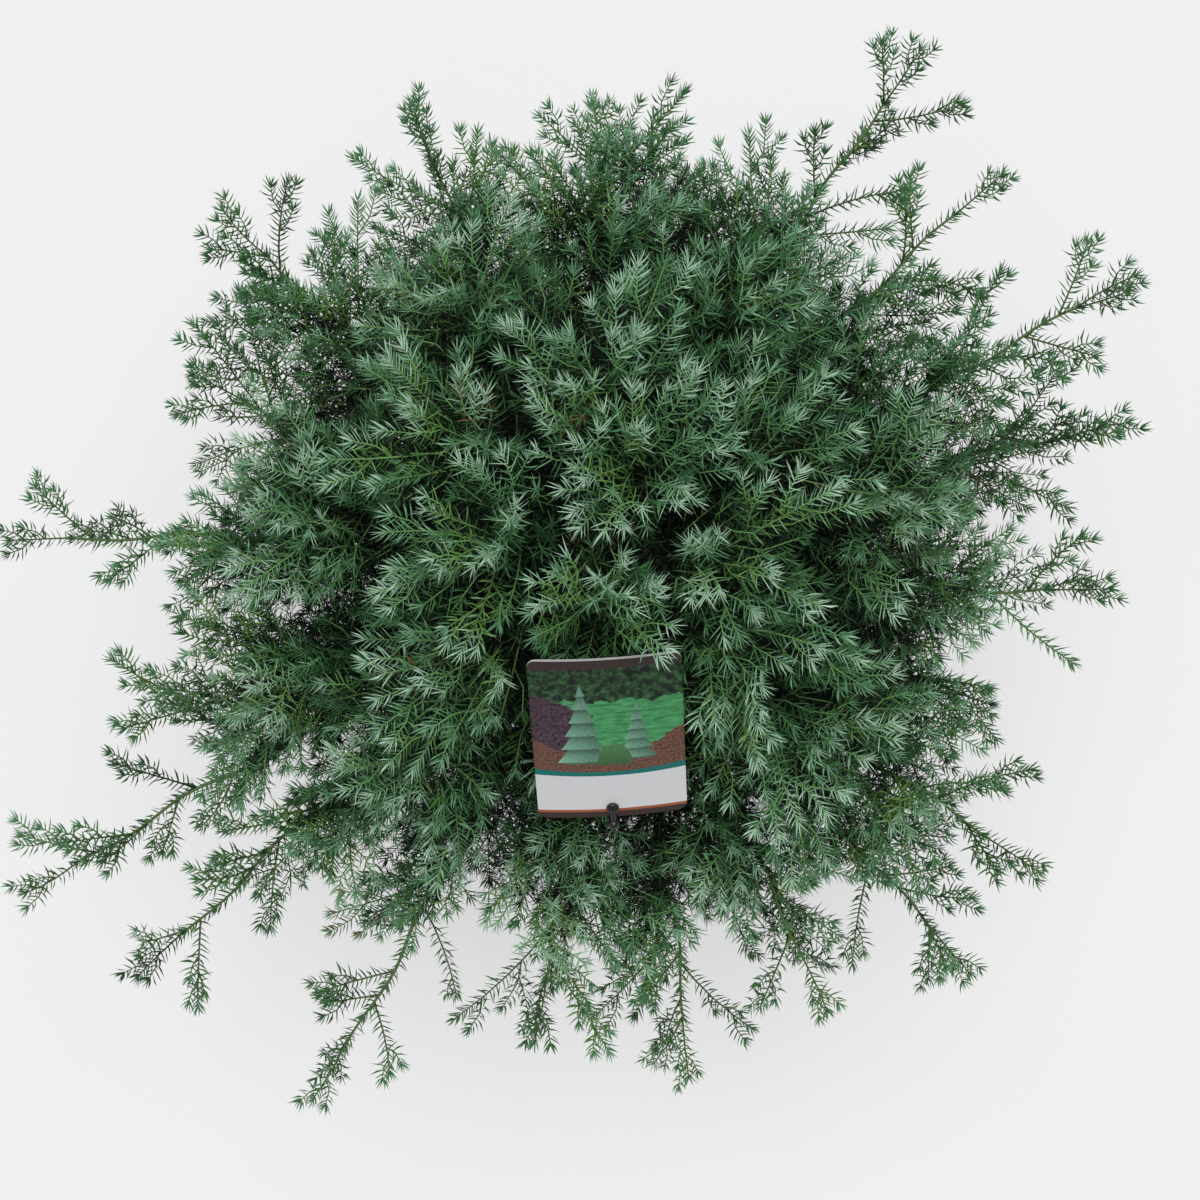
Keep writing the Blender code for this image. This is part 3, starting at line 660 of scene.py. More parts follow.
# %% [markdown]
# ## Twigs
# Look closely at one spray: a rib, side sprigs that start wide and bend forward, and small sprigs on
# those. A springy twig needs only three points: root, bend and tip of one quadratic curve. A twig that
# rises nods outward and down, and each spray leans to a side of its own, or all would stand like spokes.
# The stems wave slightly, as real shoots do, and carry their sprays along. A twig that would cover the
# label's picture, or end in one of the small bays of the crown's outline, isn't grown.

# %% A twig, waving and nodding
WAVE, WAVE_RATE = 0.0022, 95.0
# How far a rising twig bends outward and down, and how far to a side of that at most
NOD_OUT, NOD_DOWN, NOD_FROM, LEAN = 0.36, 0.14, 0.03, math.radians(100)
SPRIG_START, SPRIG_END, SPRIG_SPREAD = math.radians(54), math.radians(28), (0.88, 1.12)


@dataclass
class Twig:
    """A thin axis that bends once, its rank, and its spray's look: the tone, freshness and lean."""

    root: Vector
    bend: Vector
    tip: Vector
    radius: float
    rank: int
    look: tuple

    def at(self, u):
        return (1 - u) ** 2 * self.root + 2 * u * (1 - u) * self.bend + u * u * self.tip

    def heading(self, u):
        return ((1 - u) * (self.bend - self.root) + u * (self.tip - self.bend)).normalized()


def wave(number, t):
    """How far a stem lies off its limb's smooth arc: most in the middle and nothing at the ends."""
    limb = masses[number].limb
    level, upright = side_frame(limb.heading(t))
    along = limb.length() * t * WAVE_RATE
    wide, high = math.sin(along + number * 1.7), 0.7 * math.sin(1.5 * along + number * 2.9)
    return 4 * t * (1 - t) * WAVE * (level * wide + upright * high)


def stem_at(number, t):
    return masses[number].limb.at(t) + wave(number, t)


def nodding(way, place, lean):
    """A heading that rises, bent down and outward, or to a side of that by the angle of its lean."""
    rise = max(0.0, way.z)
    outward = place.to_2d() / max(NOD_FROM, place.to_2d().length) * (NOD_OUT * rise)
    outward.rotate(Matrix.Rotation(lean, 2))
    return Vector((way.x + outward.x, way.y + outward.y, way.z - NOD_DOWN * rise)).normalized()


def side_twig(parent, u, side, length, radius, dice):
    """A twig on a parent twig, to the side, a little out of the spray's plane."""
    heading = parent.heading(u)
    spread = dice.uniform(*SPRIG_SPREAD)
    start, end = SPRIG_START * spread, SPRIG_END * spread
    start_way, end_way = [(math.cos(a) * heading + math.sin(a) * side).normalized() for a in (start, end)]
    root = parent.at(u)
    bend, tip = root + start_way * length * 0.5, root + nodding(end_way, root, parent.look[2]) * length
    return Twig(root, bend, tip, radius, parent.rank + 1, parent.look)


# %% Places that stay free
CARD_EDGE_ROOM, CARD_FOOT_ROOM, OPEN_CORNER = 0.001, 0.004, (0.36, 0.84)
TWIG_CHECKS, TIP_NEEDLES = (0.25, 0.5, 0.75, 1.0), 0.006
# Where the floor shows in a bay of the crown's outline: the middle and the radius
BAYS = (
    (-0.060, -0.176, 0.022), (0.114, 0.156, 0.013), (0.186, -0.037, 0.018), (-0.165, 0.064, 0.013),
    (-0.196, 0.034, 0.013), (-0.201, -0.151, 0.015), (-0.098, -0.208, 0.018), (0.116, -0.152, 0.013),
    (0.165, 0.160, 0.016), (0.053, -0.174, 0.012), (0.089, 0.200, 0.011), (-0.151, -0.121, 0.009),
)
card_inverse = card_matrix().inverted()


def over_card(point):
    """Whether a point is above the card's picture, seen from above, but for its upper right corner."""
    place = card_inverse @ point
    rise = place.z - card_bow(place.x)
    along = place.y - rise * math.tan(CARD_TILT)
    if rise <= 0 or abs(place.x) >= CARD_WIDTH / 2 + CARD_EDGE_ROOM:
        return False
    in_corner = place.x > CARD_WIDTH * OPEN_CORNER[0] and along > CARD_LENGTH * OPEN_CORNER[1]
    return -CARD_FOOT_ROOM < along < CARD_LENGTH - CARD_EDGE_ROOM and not in_corner


def in_bay(place):
    return any(math.hypot(place.x - x, place.y - y) < radius for x, y, radius in BAYS)


def in_its_room(twig):
    """Whether a twig and the needles at its tip leave the card's picture and the bays free."""
    places = [twig.at(u) for u in TWIG_CHECKS] + [twig.tip + twig.heading(1) * TIP_NEEDLES]
    return not any(over_card(place) for place in places) and not in_bay(twig.tip)


# %% Three ranks of twigs
RIB_RADIUS, SPRIG_RADIUS, SMALL_RADIUS = 0.00060, 0.00048, 0.00040
SPRIG_SPACING, LAST_SPRIG, SPRIG_LONGER, SPRIG_LENGTHS = 0.0138, 0.84, 1.24, (0.78, 1.14)
SMALL_PLACE, SMALL_SHARE, LEAST_SMALL, SMALL_LENGTHS = 0.38, 0.52, 0.022, (0.8, 1.2)
# On a long shoot a spray has a few short sprigs near its tip
SHOOT_SPRIGS, SHOOT_SPRIG_REACH = (0.44, 0.62, 0.78), (0.0085, 0.0125)
FRESH_SPRAYS = 0.36


def sprig_places(spray, dice):
    """The share of the rib and the length of each sprig."""
    if on_long_shoot(spray.root):
        return [(u + dice.uniform(-0.05, 0.05), dice.uniform(*SHOOT_SPRIG_REACH)) for u in SHOOT_SPRIGS]
    count = max(3, round(spray.length / SPRIG_SPACING))
    found = []
    for k in range(count):
        u = STALK_SHARE + (LAST_SPRIG - STALK_SHARE) * (k + dice.uniform(0.1, 0.5)) / count
        shrink = 1 - TOOTH_SHRINK * (u - STALK_SHARE) / TOOTH_STEP
        reach = spray.length * TOOTH_LENGTH * SPRIG_LONGER * shrink * dice.uniform(*SPRIG_LENGTHS)
        found.append((u, reach))
    return found


def spray_twigs(spray, shift, dice, look):
    """The rib of a spray, its sprigs and the small sprigs on those."""
    length = spray.length
    root = spray.place(0, 0, RIDGE_ROOT * 0.5) + shift
    sway, arch = dice.uniform(-0.10, 0.10) * length, dice.uniform(0.0, 0.08) * length
    bend = spray.place(length * 0.5, sway, arch) + shift
    way = (spray.place(length, 0) + shift - bend).normalized()
    rib = Twig(root, bend, bend + nodding(way, root, look[2]) * length * 0.5, RIB_RADIUS, 1, look)
    if not in_its_room(rib):
        return []
    grown = [rib]
    for k, (u, reach) in enumerate(sprig_places(spray, dice)):
        side = spray.across * (1 if k % 2 == 0 else -1) + spray.face * dice.uniform(-0.45, 0.45)
        sprig = side_twig(rib, u, side.normalized(), reach, SPRIG_RADIUS, dice)
        if not in_its_room(sprig):
            continue
        grown.append(sprig)
        if reach > LEAST_SMALL:
            plane = spray.face.cross(sprig.heading(SMALL_PLACE)).normalized() * (1 if k % 2 else -1)
            small_side = (plane + spray.face * dice.uniform(-0.5, 0.5)).normalized()
            small_reach = reach * SMALL_SHARE * dice.uniform(*SMALL_LENGTHS)
            small = side_twig(sprig, SMALL_PLACE, small_side, small_reach, SMALL_RADIUS, dice)
            if in_its_room(small):
                grown.append(small)
    return grown


def mass_twigs(number):
    """All twigs of one mass, each spray in a tone of its own."""
    dice = random.Random(SEED * 3000 + number)
    grown = []
    for t, spray in sprays[number]:
        look = (dice.gauss(0, 1), float(dice.random() < FRESH_SPRAYS), dice.uniform(-LEAN, LEAN))
        grown += spray_twigs(spray, wave(number, t), dice, look)
    return grown


twigs = [mass_twigs(number) for number in range(len(masses))]
for rank in (1, 2, 3):
    lengths = [(twig.tip - twig.root).length for grown in twigs for twig in grown if twig.rank == rank]
    print(f"rank {rank}: {len(lengths)} twigs, {sum(lengths):.1f} m")

# %% [markdown]
# ## Light and shade
# Needles that see the sky are lit and those inside the crown are shaded, and here that light and shade are
# painted into their colour: pale and silvery where lit, deep green inside. So the lesson measures
# how much of the sky each place sees. It fills a coarse grid with the lengths of the twigs, and walks
# from each cell towards the sky in thirteen directions. What it passes on the way dims the light. Near
# the crown's edge the white floor lights the foliage too, and that light is painted in as well. A needle takes
# part of its light from its own tip and part from the outer part of its twig, so that each twig reads as one.

# %% How much of the sky each place sees
LIGHT_CELL, LIGHT_STEPS, DIMMING = 0.008, 24, 70.0
# Near the crown's edge the needles get painted light for the white floor's light
EDGE_START, EDGE_END, EDGE_LIGHT = 0.10, 0.18, 0.14
# Rings of the sky: the angle from straight up, how many directions, and the share of the light from each
SKY_RINGS = ((0, 1, 0.25), (32, 6, 0.08), (62, 6, 0.045))
all_twigs = [twig for grown in twigs for twig in grown]
twig_places = np.array([twig.at(u) for twig in all_twigs for u in (0.2, 0.5, 0.8)])
twig_parts = np.repeat([(twig.tip - twig.root).length / 3 for twig in all_twigs], 3)
grid_corner = twig_places.min(axis=0) - LIGHT_CELL
grid_shape = tuple(((twig_places.max(axis=0) - grid_corner) / LIGHT_CELL).astype(int) + 2)


def light_cells(points):
    """The cell of the grid that each point lies in."""
    cells = ((points - grid_corner) / LIGHT_CELL).astype(int)
    return tuple(np.moveaxis(np.clip(cells, 0, np.array(grid_shape) - 1), -1, 0))


def sky_light(thickness):
    """For each cell the share of the sky's light that reaches it."""
    padded = np.pad(thickness, LIGHT_STEPS)
    light = np.zeros(thickness.shape)
    for zenith, count, weight in SKY_RINGS:
        for k in range(count):
            turn, tilt = 2 * math.pi * (k + 0.5) / count, math.radians(zenith)
            way = (math.sin(tilt) * math.cos(turn), math.sin(tilt) * math.sin(turn), math.cos(tilt))
            passed = 0
            for step in range(1, LIGHT_STEPS + 1):
                low = [LIGHT_STEPS + round(part * step) for part in way]
                passed = passed + padded[tuple(slice(a, a + n) for a, n in zip(low, thickness.shape))]
            light += weight * np.exp(-DIMMING * passed)
    return light


thickness = np.zeros(grid_shape)
np.add.at(thickness, light_cells(twig_places), twig_parts)
crown_light = sky_light(thickness)


def light_at(points, rng=None):
    """How well lit each point is, from 0 to 1, with the grid's edges scattered."""
    moved = points + (rng.uniform(-0.5, 0.5, points.shape) * LIGHT_CELL if rng else 0)
    return crown_light[light_cells(moved)]


def distance_out(points):
    return np.hypot(points[..., 0], points[..., 1])


def edge_share(points):
    """How near points are to the crown's edge, from 0 inside it to 1 outside."""
    return np.clip((distance_out(points) - EDGE_START) / (EDGE_END - EDGE_START), 0, 1)


def out_share(points):
    """How far points are out on the long shoots: 0 in the crown and 1 well outside it."""
    return np.clip((distance_out(points) - CROWN_RADIUS + CROWN_EDGE) / (2 * CROWN_EDGE), 0, 1)


def seen_light(points, rng=None):
    """The sky's light and that from the floor."""
    return light_at(points, rng) + EDGE_LIGHT * edge_share(points)


found_light = seen_light(twig_places)
print("light on the twigs, by tenths:", np.quantile(found_light, np.linspace(0.1, 0.9, 9)).round(2))

# %% [markdown]
# ## Finishes of needles and twigs
# The needles are pale and silvery on their new growth, and beyond that they are painted pale where well lit
# and deep green inside, as painted light and shade. An image on such thin shapes would smear, so each finish
# is one plain colour, and the needles are dealt out among them: by their light, by spray, by the place on the
# twig, and a little at random.

# %% Tones
# The darker tones go to needles in painted shade and the paler ones to needles in painted light; the fresh
# greens and the straw are the needles' own colours.
NEEDLE_TONES = (
    ("needle_black_green", (0.003, 0.009, 0.004)),
    ("needle_night_green", (0.008, 0.024, 0.009)),
    ("needle_shade_green", (0.017, 0.050, 0.019)),
    ("needle_deep_green", (0.032, 0.098, 0.036)),
    ("needle_leaf_green", (0.056, 0.160, 0.055)),
    ("needle_sea_green", (0.088, 0.232, 0.098)),
    ("needle_blue_green", (0.145, 0.325, 0.168)),
    ("needle_pale_green", (0.245, 0.445, 0.275)),
    ("needle_silver_green", (0.420, 0.615, 0.450)),
    ("needle_fresh_leaf_green", (0.068, 0.165, 0.034)),
    ("needle_fresh_green", (0.112, 0.242, 0.056)),
    ("needle_fresh_light_green", (0.180, 0.345, 0.105)),
    ("needle_straw", (0.160, 0.108, 0.050)),
)
# twig_shade_olive is a painted shade for twigs in little light, and twig_dark_brown is old wood and also the
# painted shade of stems in little light.
TWIG_TONES = (
    ("twig_fresh_green", (0.155, 0.340, 0.100)),
    ("twig_yellow_green", (0.140, 0.265, 0.078)),
    ("twig_olive", (0.086, 0.145, 0.046)),
    ("twig_shade_olive", (0.022, 0.054, 0.016)),
    ("twig_dark_brown", (0.032, 0.024, 0.012)),
    ("twig_tan", (0.160, 0.098, 0.046)),
)
LEAF, SILVER, FRESH_LEAF, STRAW = 4, 8, 9, 12
GREEN, OLIVE, DARK_BROWN, TAN = 1, 2, 4, 5


def plain_finishes(tones, roughness):
    more = {"Specular IOR Level": 0.22}
    return [Finish(name, colour, roughness, more).material for name, colour in tones]


needle_finishes = plain_finishes(NEEDLE_TONES, 0.52)
twig_finishes = plain_finishes(TWIG_TONES, 0.60)

# %% [markdown]
# ## Needles
# A needle is a slim blade: two points at its foot, a shoulder on one edge, a sharp tip and a keel below.
# So five points give an almost even width, a flat face above and a ridge below, and moving the shoulder
# and the keel aside bends it. In the shade a plain spike does. Needles stand in crossed pairs that lean
# towards level and turn their flat faces to the sky, wide at the twig's foot and gathered into a small
# brush at its tip. A needle's outer faces are paler than those near its foot, and its faces that look down
# or back to the twig are painted darker as shade. In the crown a needle's tone follows its light steeply,
# as painted light and shade, and on the long shoots, which the floor lights from below, that painted light
# changes less. Working on whole arrays makes all needles in a few seconds.

# %% Many curves at once


def curve_points(roots, bends, tips, u):
    """Points and headings of many quadratic curves, each at its own shares."""
    place = (1 - u) ** 2 * roots + 2 * u * (1 - u) * bends + u * u * tips
    return place, unit((1 - u) * (bends - roots) + u * (tips - bends))


def across(headings):
    """Two unit vectors across each heading, as side_frame gives them."""
    upright = np.broadcast_to((0.0, 0.0, 1.0), headings.shape)
    steep = np.abs(headings[..., 2:3]) >= STEEP
    level = unit(np.cross(headings, np.where(steep, (0.0, 1.0, 0.0), upright)))
    return level, unit(np.cross(level, headings))


def arrays_of(grown):
    """Roots, bends and tips of many twigs, and their radius, rank, tone, freshness and lean, as arrays."""
    roots = np.array([twig.root for twig in grown])
    bends = np.array([twig.bend for twig in grown])
    tips = np.array([twig.tip for twig in grown])
    rest = np.array([(twig.radius, twig.rank, *twig.look) for twig in grown])
    return roots, bends, tips, rest


# %% The pairs of needles along a twig
PAIR_PITCH = {1: 0.00192, 2: 0.00182, 3: 0.00172}
# The pairs stand closer together towards a twig's tip, and there their angle closes
CROWDING, LAST_PAIR, CLOSING_FROM, CLOSING = 1.30, 0.96, 0.35, 1.5
WIDE_ANGLE, CLOSE_ANGLE = math.radians(63), math.radians(42)
PAIR_SIZE, PAIR_SWELL, PAIR_SWELL_RATE = 0.88, 0.16, 1.1
# The last pairs of a twig: the place, the angle in degrees and the size
TIP_PAIRS = ((0.970, 42, 0.92), (0.985, 31, 0.86), (1.0, 15, 0.76))


def pair_places(lengths, ranks, apart):
    """For each pair of needles: its twig, its number, its place, the angle that it stands at and its size."""
    pitch = np.vectorize(PAIR_PITCH.get)(ranks) * apart
    counts = np.maximum(2, (lengths / pitch).astype(int))
    owner = np.repeat(np.arange(len(lengths)), counts)
    order = np.arange(len(owner)) - np.repeat(np.cumsum(counts) - counts, counts)
    share = (1 - (1 - (order + 0.5) / counts[owner]) ** CROWDING) * LAST_PAIR
    near_tip = np.clip((share - CLOSING_FROM) / (1 - CLOSING_FROM), 0, 1) ** CLOSING
    angle = WIDE_ANGLE + (CLOSE_ANGLE - WIDE_ANGLE) * near_tip
    size = PAIR_SIZE + PAIR_SWELL * np.sin(np.pi * np.clip(share * PAIR_SWELL_RATE, 0, 1))
    rows = [(owner, order, share, angle, size)]
    every, one = np.arange(len(lengths)), np.ones(len(lengths))
    for after, (place, degrees, scale) in enumerate(TIP_PAIRS):
        rows.append((every, counts + after, one * place, one * math.radians(degrees), one * scale))
    return [np.concatenate(column) for column in zip(*rows)]


# %% The points of a needle
NEEDLE_LENGTH, NEEDLE_WIDTH, NEEDLE_THICKNESS = 0.0082, 0.00049, 0.00022
SHOULDER_AT, SHOULDER_WIDTH, KEEL_AT = 0.64, 0.8, 0.4
BLADE = np.array([(0, 1, 2), (0, 2, 3), (1, 0, 4), (2, 1, 4), (3, 2, 4), (0, 3, 4)])
SPIKE = np.array([(0, 2, 1), (0, 1, 3), (1, 2, 3), (2, 0, 3)])
CARD_ROOM, CARD_SIDE_ROOM, CARD_END_ROOM, WALL_ROOM = 0.0009, 0.001, 0.002, 0.006


def blades(roots, ways, fronts, edges, keels, lengths, bows):
    """The five points of each needle near the light. A front is the way its flat face looks."""
    middle = roots - fronts * bows * lengths
    shoulder = middle + ways * lengths * SHOULDER_AT - edges * SHOULDER_WIDTH
    keel = middle + ways * lengths * KEEL_AT - keels
    return np.stack([roots + edges, roots - edges, shoulder, roots + ways * lengths, keel], axis=1)


def spikes(roots, ways, fronts, edges, keels, lengths, bows):
    """The four points of each needle in the shade, which is widest at its root and straight."""
    return np.stack([roots + edges, roots - edges, roots - keels, roots + ways * lengths], axis=1)


def near_label_or_pot(points):
    """Which needles would go through the card or into the pot's wall."""
    inverse, tips = np.array(card_inverse), points[:, 3]
    ends = points[:, [0, 3]] @ inverse[:3, :3].T + inverse[:3, 3]
    inside = (np.abs(ends[..., 0]) < CARD_WIDTH / 2 + CARD_SIDE_ROOM) & (ends[..., 1] > -CARD_END_ROOM)
    inside &= ends[..., 1] < CARD_LENGTH + CARD_SIDE_ROOM
    height = ends[..., 2] - card_bow(ends[..., 0])
    through = inside.any(1) & (height.min(1) < CARD_ROOM) & (height.max(1) > -CARD_ROOM)
    wall = np.abs(distance_out(tips) - POT_TOP_RADIUS) < WALL_ROOM
    return through | (wall & (tips[:, 2] < POT_HEIGHT + CARD_SIDE_ROOM))


# %% The ways that needles point
# How far the rows stand from level, and how strongly the flat faces turn to the sky
ROW_RISE, FACE_UP, ANGLE_LIMITS = math.radians(36), 0.8, (0.12, 1.45)
TURN_SCATTER, ANGLE_SCATTER = 0.22, 0.10


def needle_ways(heading, order, angle, rng):
    """The way that each needle points, and the way that its flat face looks."""
    count = len(order)
    level, upright = across(heading)
    steep = np.abs(heading[:, 2])
    rise = (ROW_RISE * (1 - steep) + np.pi / 4 * steep) * np.where(order % 2, -1, 1)
    turn = rise + np.pi * (np.arange(count) % 2) + rng.normal(0, TURN_SCATTER, count)
    outward = np.cos(turn)[:, None] * level + np.sin(turn)[:, None] * upright
    angle = np.clip(angle + rng.normal(0, ANGLE_SCATTER, count), *ANGLE_LIMITS)[:, None]
    way = np.cos(angle) * heading + np.sin(angle) * outward
    front = np.sin(angle) * heading - np.cos(angle) * outward + (0, 0, FACE_UP)
    return way, unit(front - (front * way).sum(1)[:, None] * way)


# %% The tones of needles
# The tone of each face, in steps from the needle's own: faces that look down or back to the twig get a painted
# shade
BLADE_FACE_SHADING, SPIKE_FACE_SHADING = (-0.3, 0.3, -0.8, -0.7, 0.0, -0.4), (-1.0, 0.0, -0.5, -0.5)
# Painted light and shade: a crown needle's tone in the dark, what full light adds, and what the twig's tip
# adds in the dark and more in the light. For a shoot's needle: the tone in the dark, what light adds and what
# the tip adds
CROWN_TONES, SHOOT_TONES = (-5.7, 11.7, 0.6, 2.3), (1.75, 1.8, 1.3)
TIP_POWER, SPRAY_TONE, TONE_SCATTER, FRESH_UNTIL = 1.5, 0.45, 0.25, 0.8
# In a spray whose tone is over the first, this share of the needles is dry and brown
DRY_SPRAY, DRY_SHARE = 2.55, 0.22


def freshened(tones, fresh, share):
    """The tones of a fresh spray's inner needles turned to yellower greens of the same depth."""
    middle = (tones >= LEAF) & (tones < LEAF + STRAW - FRESH_LEAF) & (share < FRESH_UNTIL)
    return np.where(fresh & middle, tones - LEAF + FRESH_LEAF, tones)


def needle_slots(light, share, out, looks, face_shading, rng):
    """The finish of each face of each needle, by its painted light and shade, its place on the twig and its
    spray.
    """
    spray_tone, fresh = looks[:, 0], looks[:, 1] > 0
    dark, lighter, tip, lit_tip = CROWN_TONES
    crown_tone = lighter * light + dark + (tip + lit_tip * light) * share ** TIP_POWER
    dark, lighter, tip = SHOOT_TONES
    shoot_tone = dark + lighter * light + tip * share ** TIP_POWER
    tone = crown_tone + (shoot_tone - crown_tone) * out + SPRAY_TONE * spray_tone
    tone = tone + rng.normal(0, TONE_SCATTER, len(light))
    slots = np.clip(np.round(tone[:, None] + face_shading), 0, SILVER).astype(int)
    slots = freshened(slots, fresh[:, None], share[:, None])
    dry = (spray_tone > DRY_SPRAY) & (rng.random(len(light)) < DRY_SHARE)
    return np.where(dry[:, None], STRAW, slots)


# %% All needles of some twigs
RANK_LENGTH = {1: 1.0, 2: 1.0, 3: 0.90}
LENGTH_SCATTER, BOW, BOW_SCATTER = 0.09, 0.03, 0.04
# On the long shoots outside the crown the needles are shorter and wider, and never painted in full shade
SHOOT_NEEDLE_LENGTH, SHOOT_NEEDLE_WIDTH, LEAST_SHOOT_LIGHT = 0.78, 1.85, 0.34
SHARED_LIGHT = 0.6
# Up to a share of light: how much further apart the pairs are, and how much longer and wider the needles
SHADE_CLASSES = ((0.08, 2.0, 1.20, 2.8), (0.20, 1.7, 1.10, 2.2), (0.36, 1.35, 1.05, 1.8), (9.0, 1.0, 1.0, 1.0))
# Where the floor shows between the twigs, at least this class of them
EDGE_CLASS = 2


def needles_of(grown, shade_class, rng, bundle):
    """Adds the needles of many twigs that are about equally well lit to a bundle."""
    _, apart, longer, wider = SHADE_CLASSES[shade_class]
    lit = shade_class == len(SHADE_CLASSES) - 1
    shape, pattern, tones = (blades, BLADE, BLADE_FACE_SHADING) if lit else (spikes, SPIKE, SPIKE_FACE_SHADING)
    roots, bends, tips, rest = arrays_of(grown)
    pairs = pair_places(np.linalg.norm(tips - roots, axis=1), rest[:, 1].astype(int), apart)
    owner, order, share, angle, size = [np.repeat(column, 2) for column in pairs]
    place, heading = curve_points(roots[owner], bends[owner], tips[owner], share[:, None])
    out = out_share(place)
    way, front = needle_ways(heading, order, angle, rng)
    rank_length = np.vectorize(RANK_LENGTH.get)(rest[owner, 1].astype(int))
    reach = NEEDLE_LENGTH * longer * size * rank_length * rng.normal(1, LENGTH_SCATTER, len(owner))
    reach = (reach * (1 + (SHOOT_NEEDLE_LENGTH - 1) * out))[:, None]
    wide = (NEEDLE_WIDTH * wider * (1 + (SHOOT_NEEDLE_WIDTH - 1) * out))[:, None]
    edge = np.cross(front, way) * wide / 2
    keel = front * wide * NEEDLE_THICKNESS / NEEDLE_WIDTH
    bows = rng.normal(BOW, BOW_SCATTER, len(owner))[:, None]
    points = shape(place, way, front, edge, keel, reach, bows)
    kept = ~near_label_or_pot(points)
    own = seen_light(points[:, 3], rng)
    shared = seen_light(curve_points(roots, bends, tips, 0.8)[0], rng)
    light = np.maximum(own + (shared[owner] - own) * SHARED_LIGHT, LEAST_SHOOT_LIGHT * out)
    slots = needle_slots(light, share, out, rest[owner, 2:4], tones, rng)[kept]
    points = points[kept]
    faces = pattern[None] + points.shape[1] * np.arange(len(points))[:, None, None]
    bundle.add(points, faces, slots.ravel())
    return len(points)


def classes_of(grown):
    """Which shade class each twig is in, by the light on its middle."""
    middles = np.array([twig.at(0.6) for twig in grown])
    found = np.searchsorted([row[0] for row in SHADE_CLASSES], light_at(middles))
    return np.where(edge_share(middles) > 0, np.maximum(found, EDGE_CLASS), found)


# %% [markdown]
# ## Twigs as tubes
# A twig is a three-sided tube that tapers, closed by a triangle at its root and a point at its tip. Three
# sides are enough at a third of a millimetre, and they keep the mesh small.

# %% Arrays of tubes
RINGS, RANK_TONES = {1: 5, 2: 3, 3: 2}, {1: 0.9, 2: 0.3, 3: 0.0}
TWIG_TAPER, TIP_FRESHER, SPRAY_FRESHER, SHADE_DARKER, SHOOT_OLIVE = 0.55, 0.5, 0.25, 2.8, 1.3


def walls(rings, sides):
    """The triangles between the rings of a tube."""
    faces = []
    for ring in range(rings - 1):
        for k in range(sides):
            a, b = ring * sides + k, ring * sides + (k + 1) % sides
            faces += [(a, b, b + sides), (a, b + sides, a + sides)]
    return faces


def tube_faces(rings, sides):
    """The triangles of one closed tube whose last point is its tip."""
    faces = walls(rings, sides)
    last, tip = (rings - 1) * sides, rings * sides
    faces += [(last + k, last + (k + 1) % sides, tip) for k in range(sides)]
    faces += [(0, k + 1, k) for k in range(1, sides - 1)]
    return np.array(faces)


def tubes_of(grown, rank, bundle):
    """Adds the tubes of one rank of twigs."""
    grown = [twig for twig in grown if twig.rank == rank]
    roots, bends, tips, rest = arrays_of(grown)
    rings = RINGS[rank]
    u = np.linspace(0, 0.97, rings)[None, :, None]
    place, heading = curve_points(roots[:, None], bends[:, None], tips[:, None], u)
    level, upright = across(heading)
    radius = rest[:, 0][:, None, None] * (1 - (1 - TWIG_TAPER) * u)
    turns = [2 * math.pi * k / 3 for k in range(3)]
    corners = [place + radius * (math.cos(a) * level + math.sin(a) * upright) for a in turns]
    rows = np.stack(corners, axis=2).reshape(len(grown), rings * 3, 3)
    points = np.concatenate([rows, tips[:, None]], axis=1)
    faces = tube_faces(rings, 3)
    places = faces[None] + points.shape[1] * np.arange(len(grown))[:, None, None]
    share = faces.min(axis=1) // 3 / rings
    middles = place[:, rings // 2]
    # Twigs in little light are painted darker: a painted shade
    dark = 1 - np.clip(seen_light(middles) / 0.5, 0, 1)[:, None]
    tone = RANK_TONES[rank] - TIP_FRESHER * share[None] - SPRAY_FRESHER * rest[:, 2][:, None]
    tone = tone + SHADE_DARKER * dark + SHOOT_OLIVE * out_share(middles)[:, None]
    slots = np.clip(np.round(tone), 0, DARK_BROWN - 1).astype(int)
    bundle.add(points, places, slots.ravel())


# %% [markdown]
# ## Stems
# The stem of a mass is the outer part of its limb. It is woody and tan where it leaves the bough, olive
# further out, and green and needled near its tip, so its finish changes along its way. Where little light
# reaches it, it is painted dark brown, a painted shade.

# %% Stems of the masses
STEM_RINGS, STEM_SIDES, STEM_TIP_RADIUS, STEM_SLENDER, STEM_SHADE = 26, 6, 0.00055, 1.5, 0.22
STEM_CUTS, STEM_NEEDLES_FROM = 8, 0.25


def stem_bundle(number, bundle):
    """Adds the stem of one mass, a tube along the waved arc."""
    mass = masses[number]
    last = last_place(mass)
    points = []
    for t in np.linspace(mass.first, last, STEM_RINGS).tolist():
        slender = ((last - t) / (last - mass.first)) ** STEM_SLENDER
        radius = STEM_TIP_RADIUS + (BOUGH_TIP_RADIUS - STEM_TIP_RADIUS) * slender
        points += circle(stem_at(number, t), radius, mass.limb.heading(t), STEM_SIDES)
    points.append(stem_at(number, last) + mass.limb.heading(last) * STEM_TIP_RADIUS)
    faces = tube_faces(STEM_RINGS, STEM_SIDES)
    way_out = (faces.min(axis=1) // STEM_SIDES) / STEM_RINGS
    ages = (TAN, TAN, OLIVE, OLIVE) if mass.limb.bough_share else (DARK_BROWN, OLIVE, OLIVE, GREEN)
    tones = np.array(ages)[np.clip(np.round(3.3 * way_out), 0, 3).astype(int)]
    # Where the stem gets little light it is painted dark brown: painted shade
    shaded = light_at(np.array(points))[faces.min(axis=1)] < STEM_SHADE
    bundle.add(points, faces, np.where(shaded, DARK_BROWN, tones))


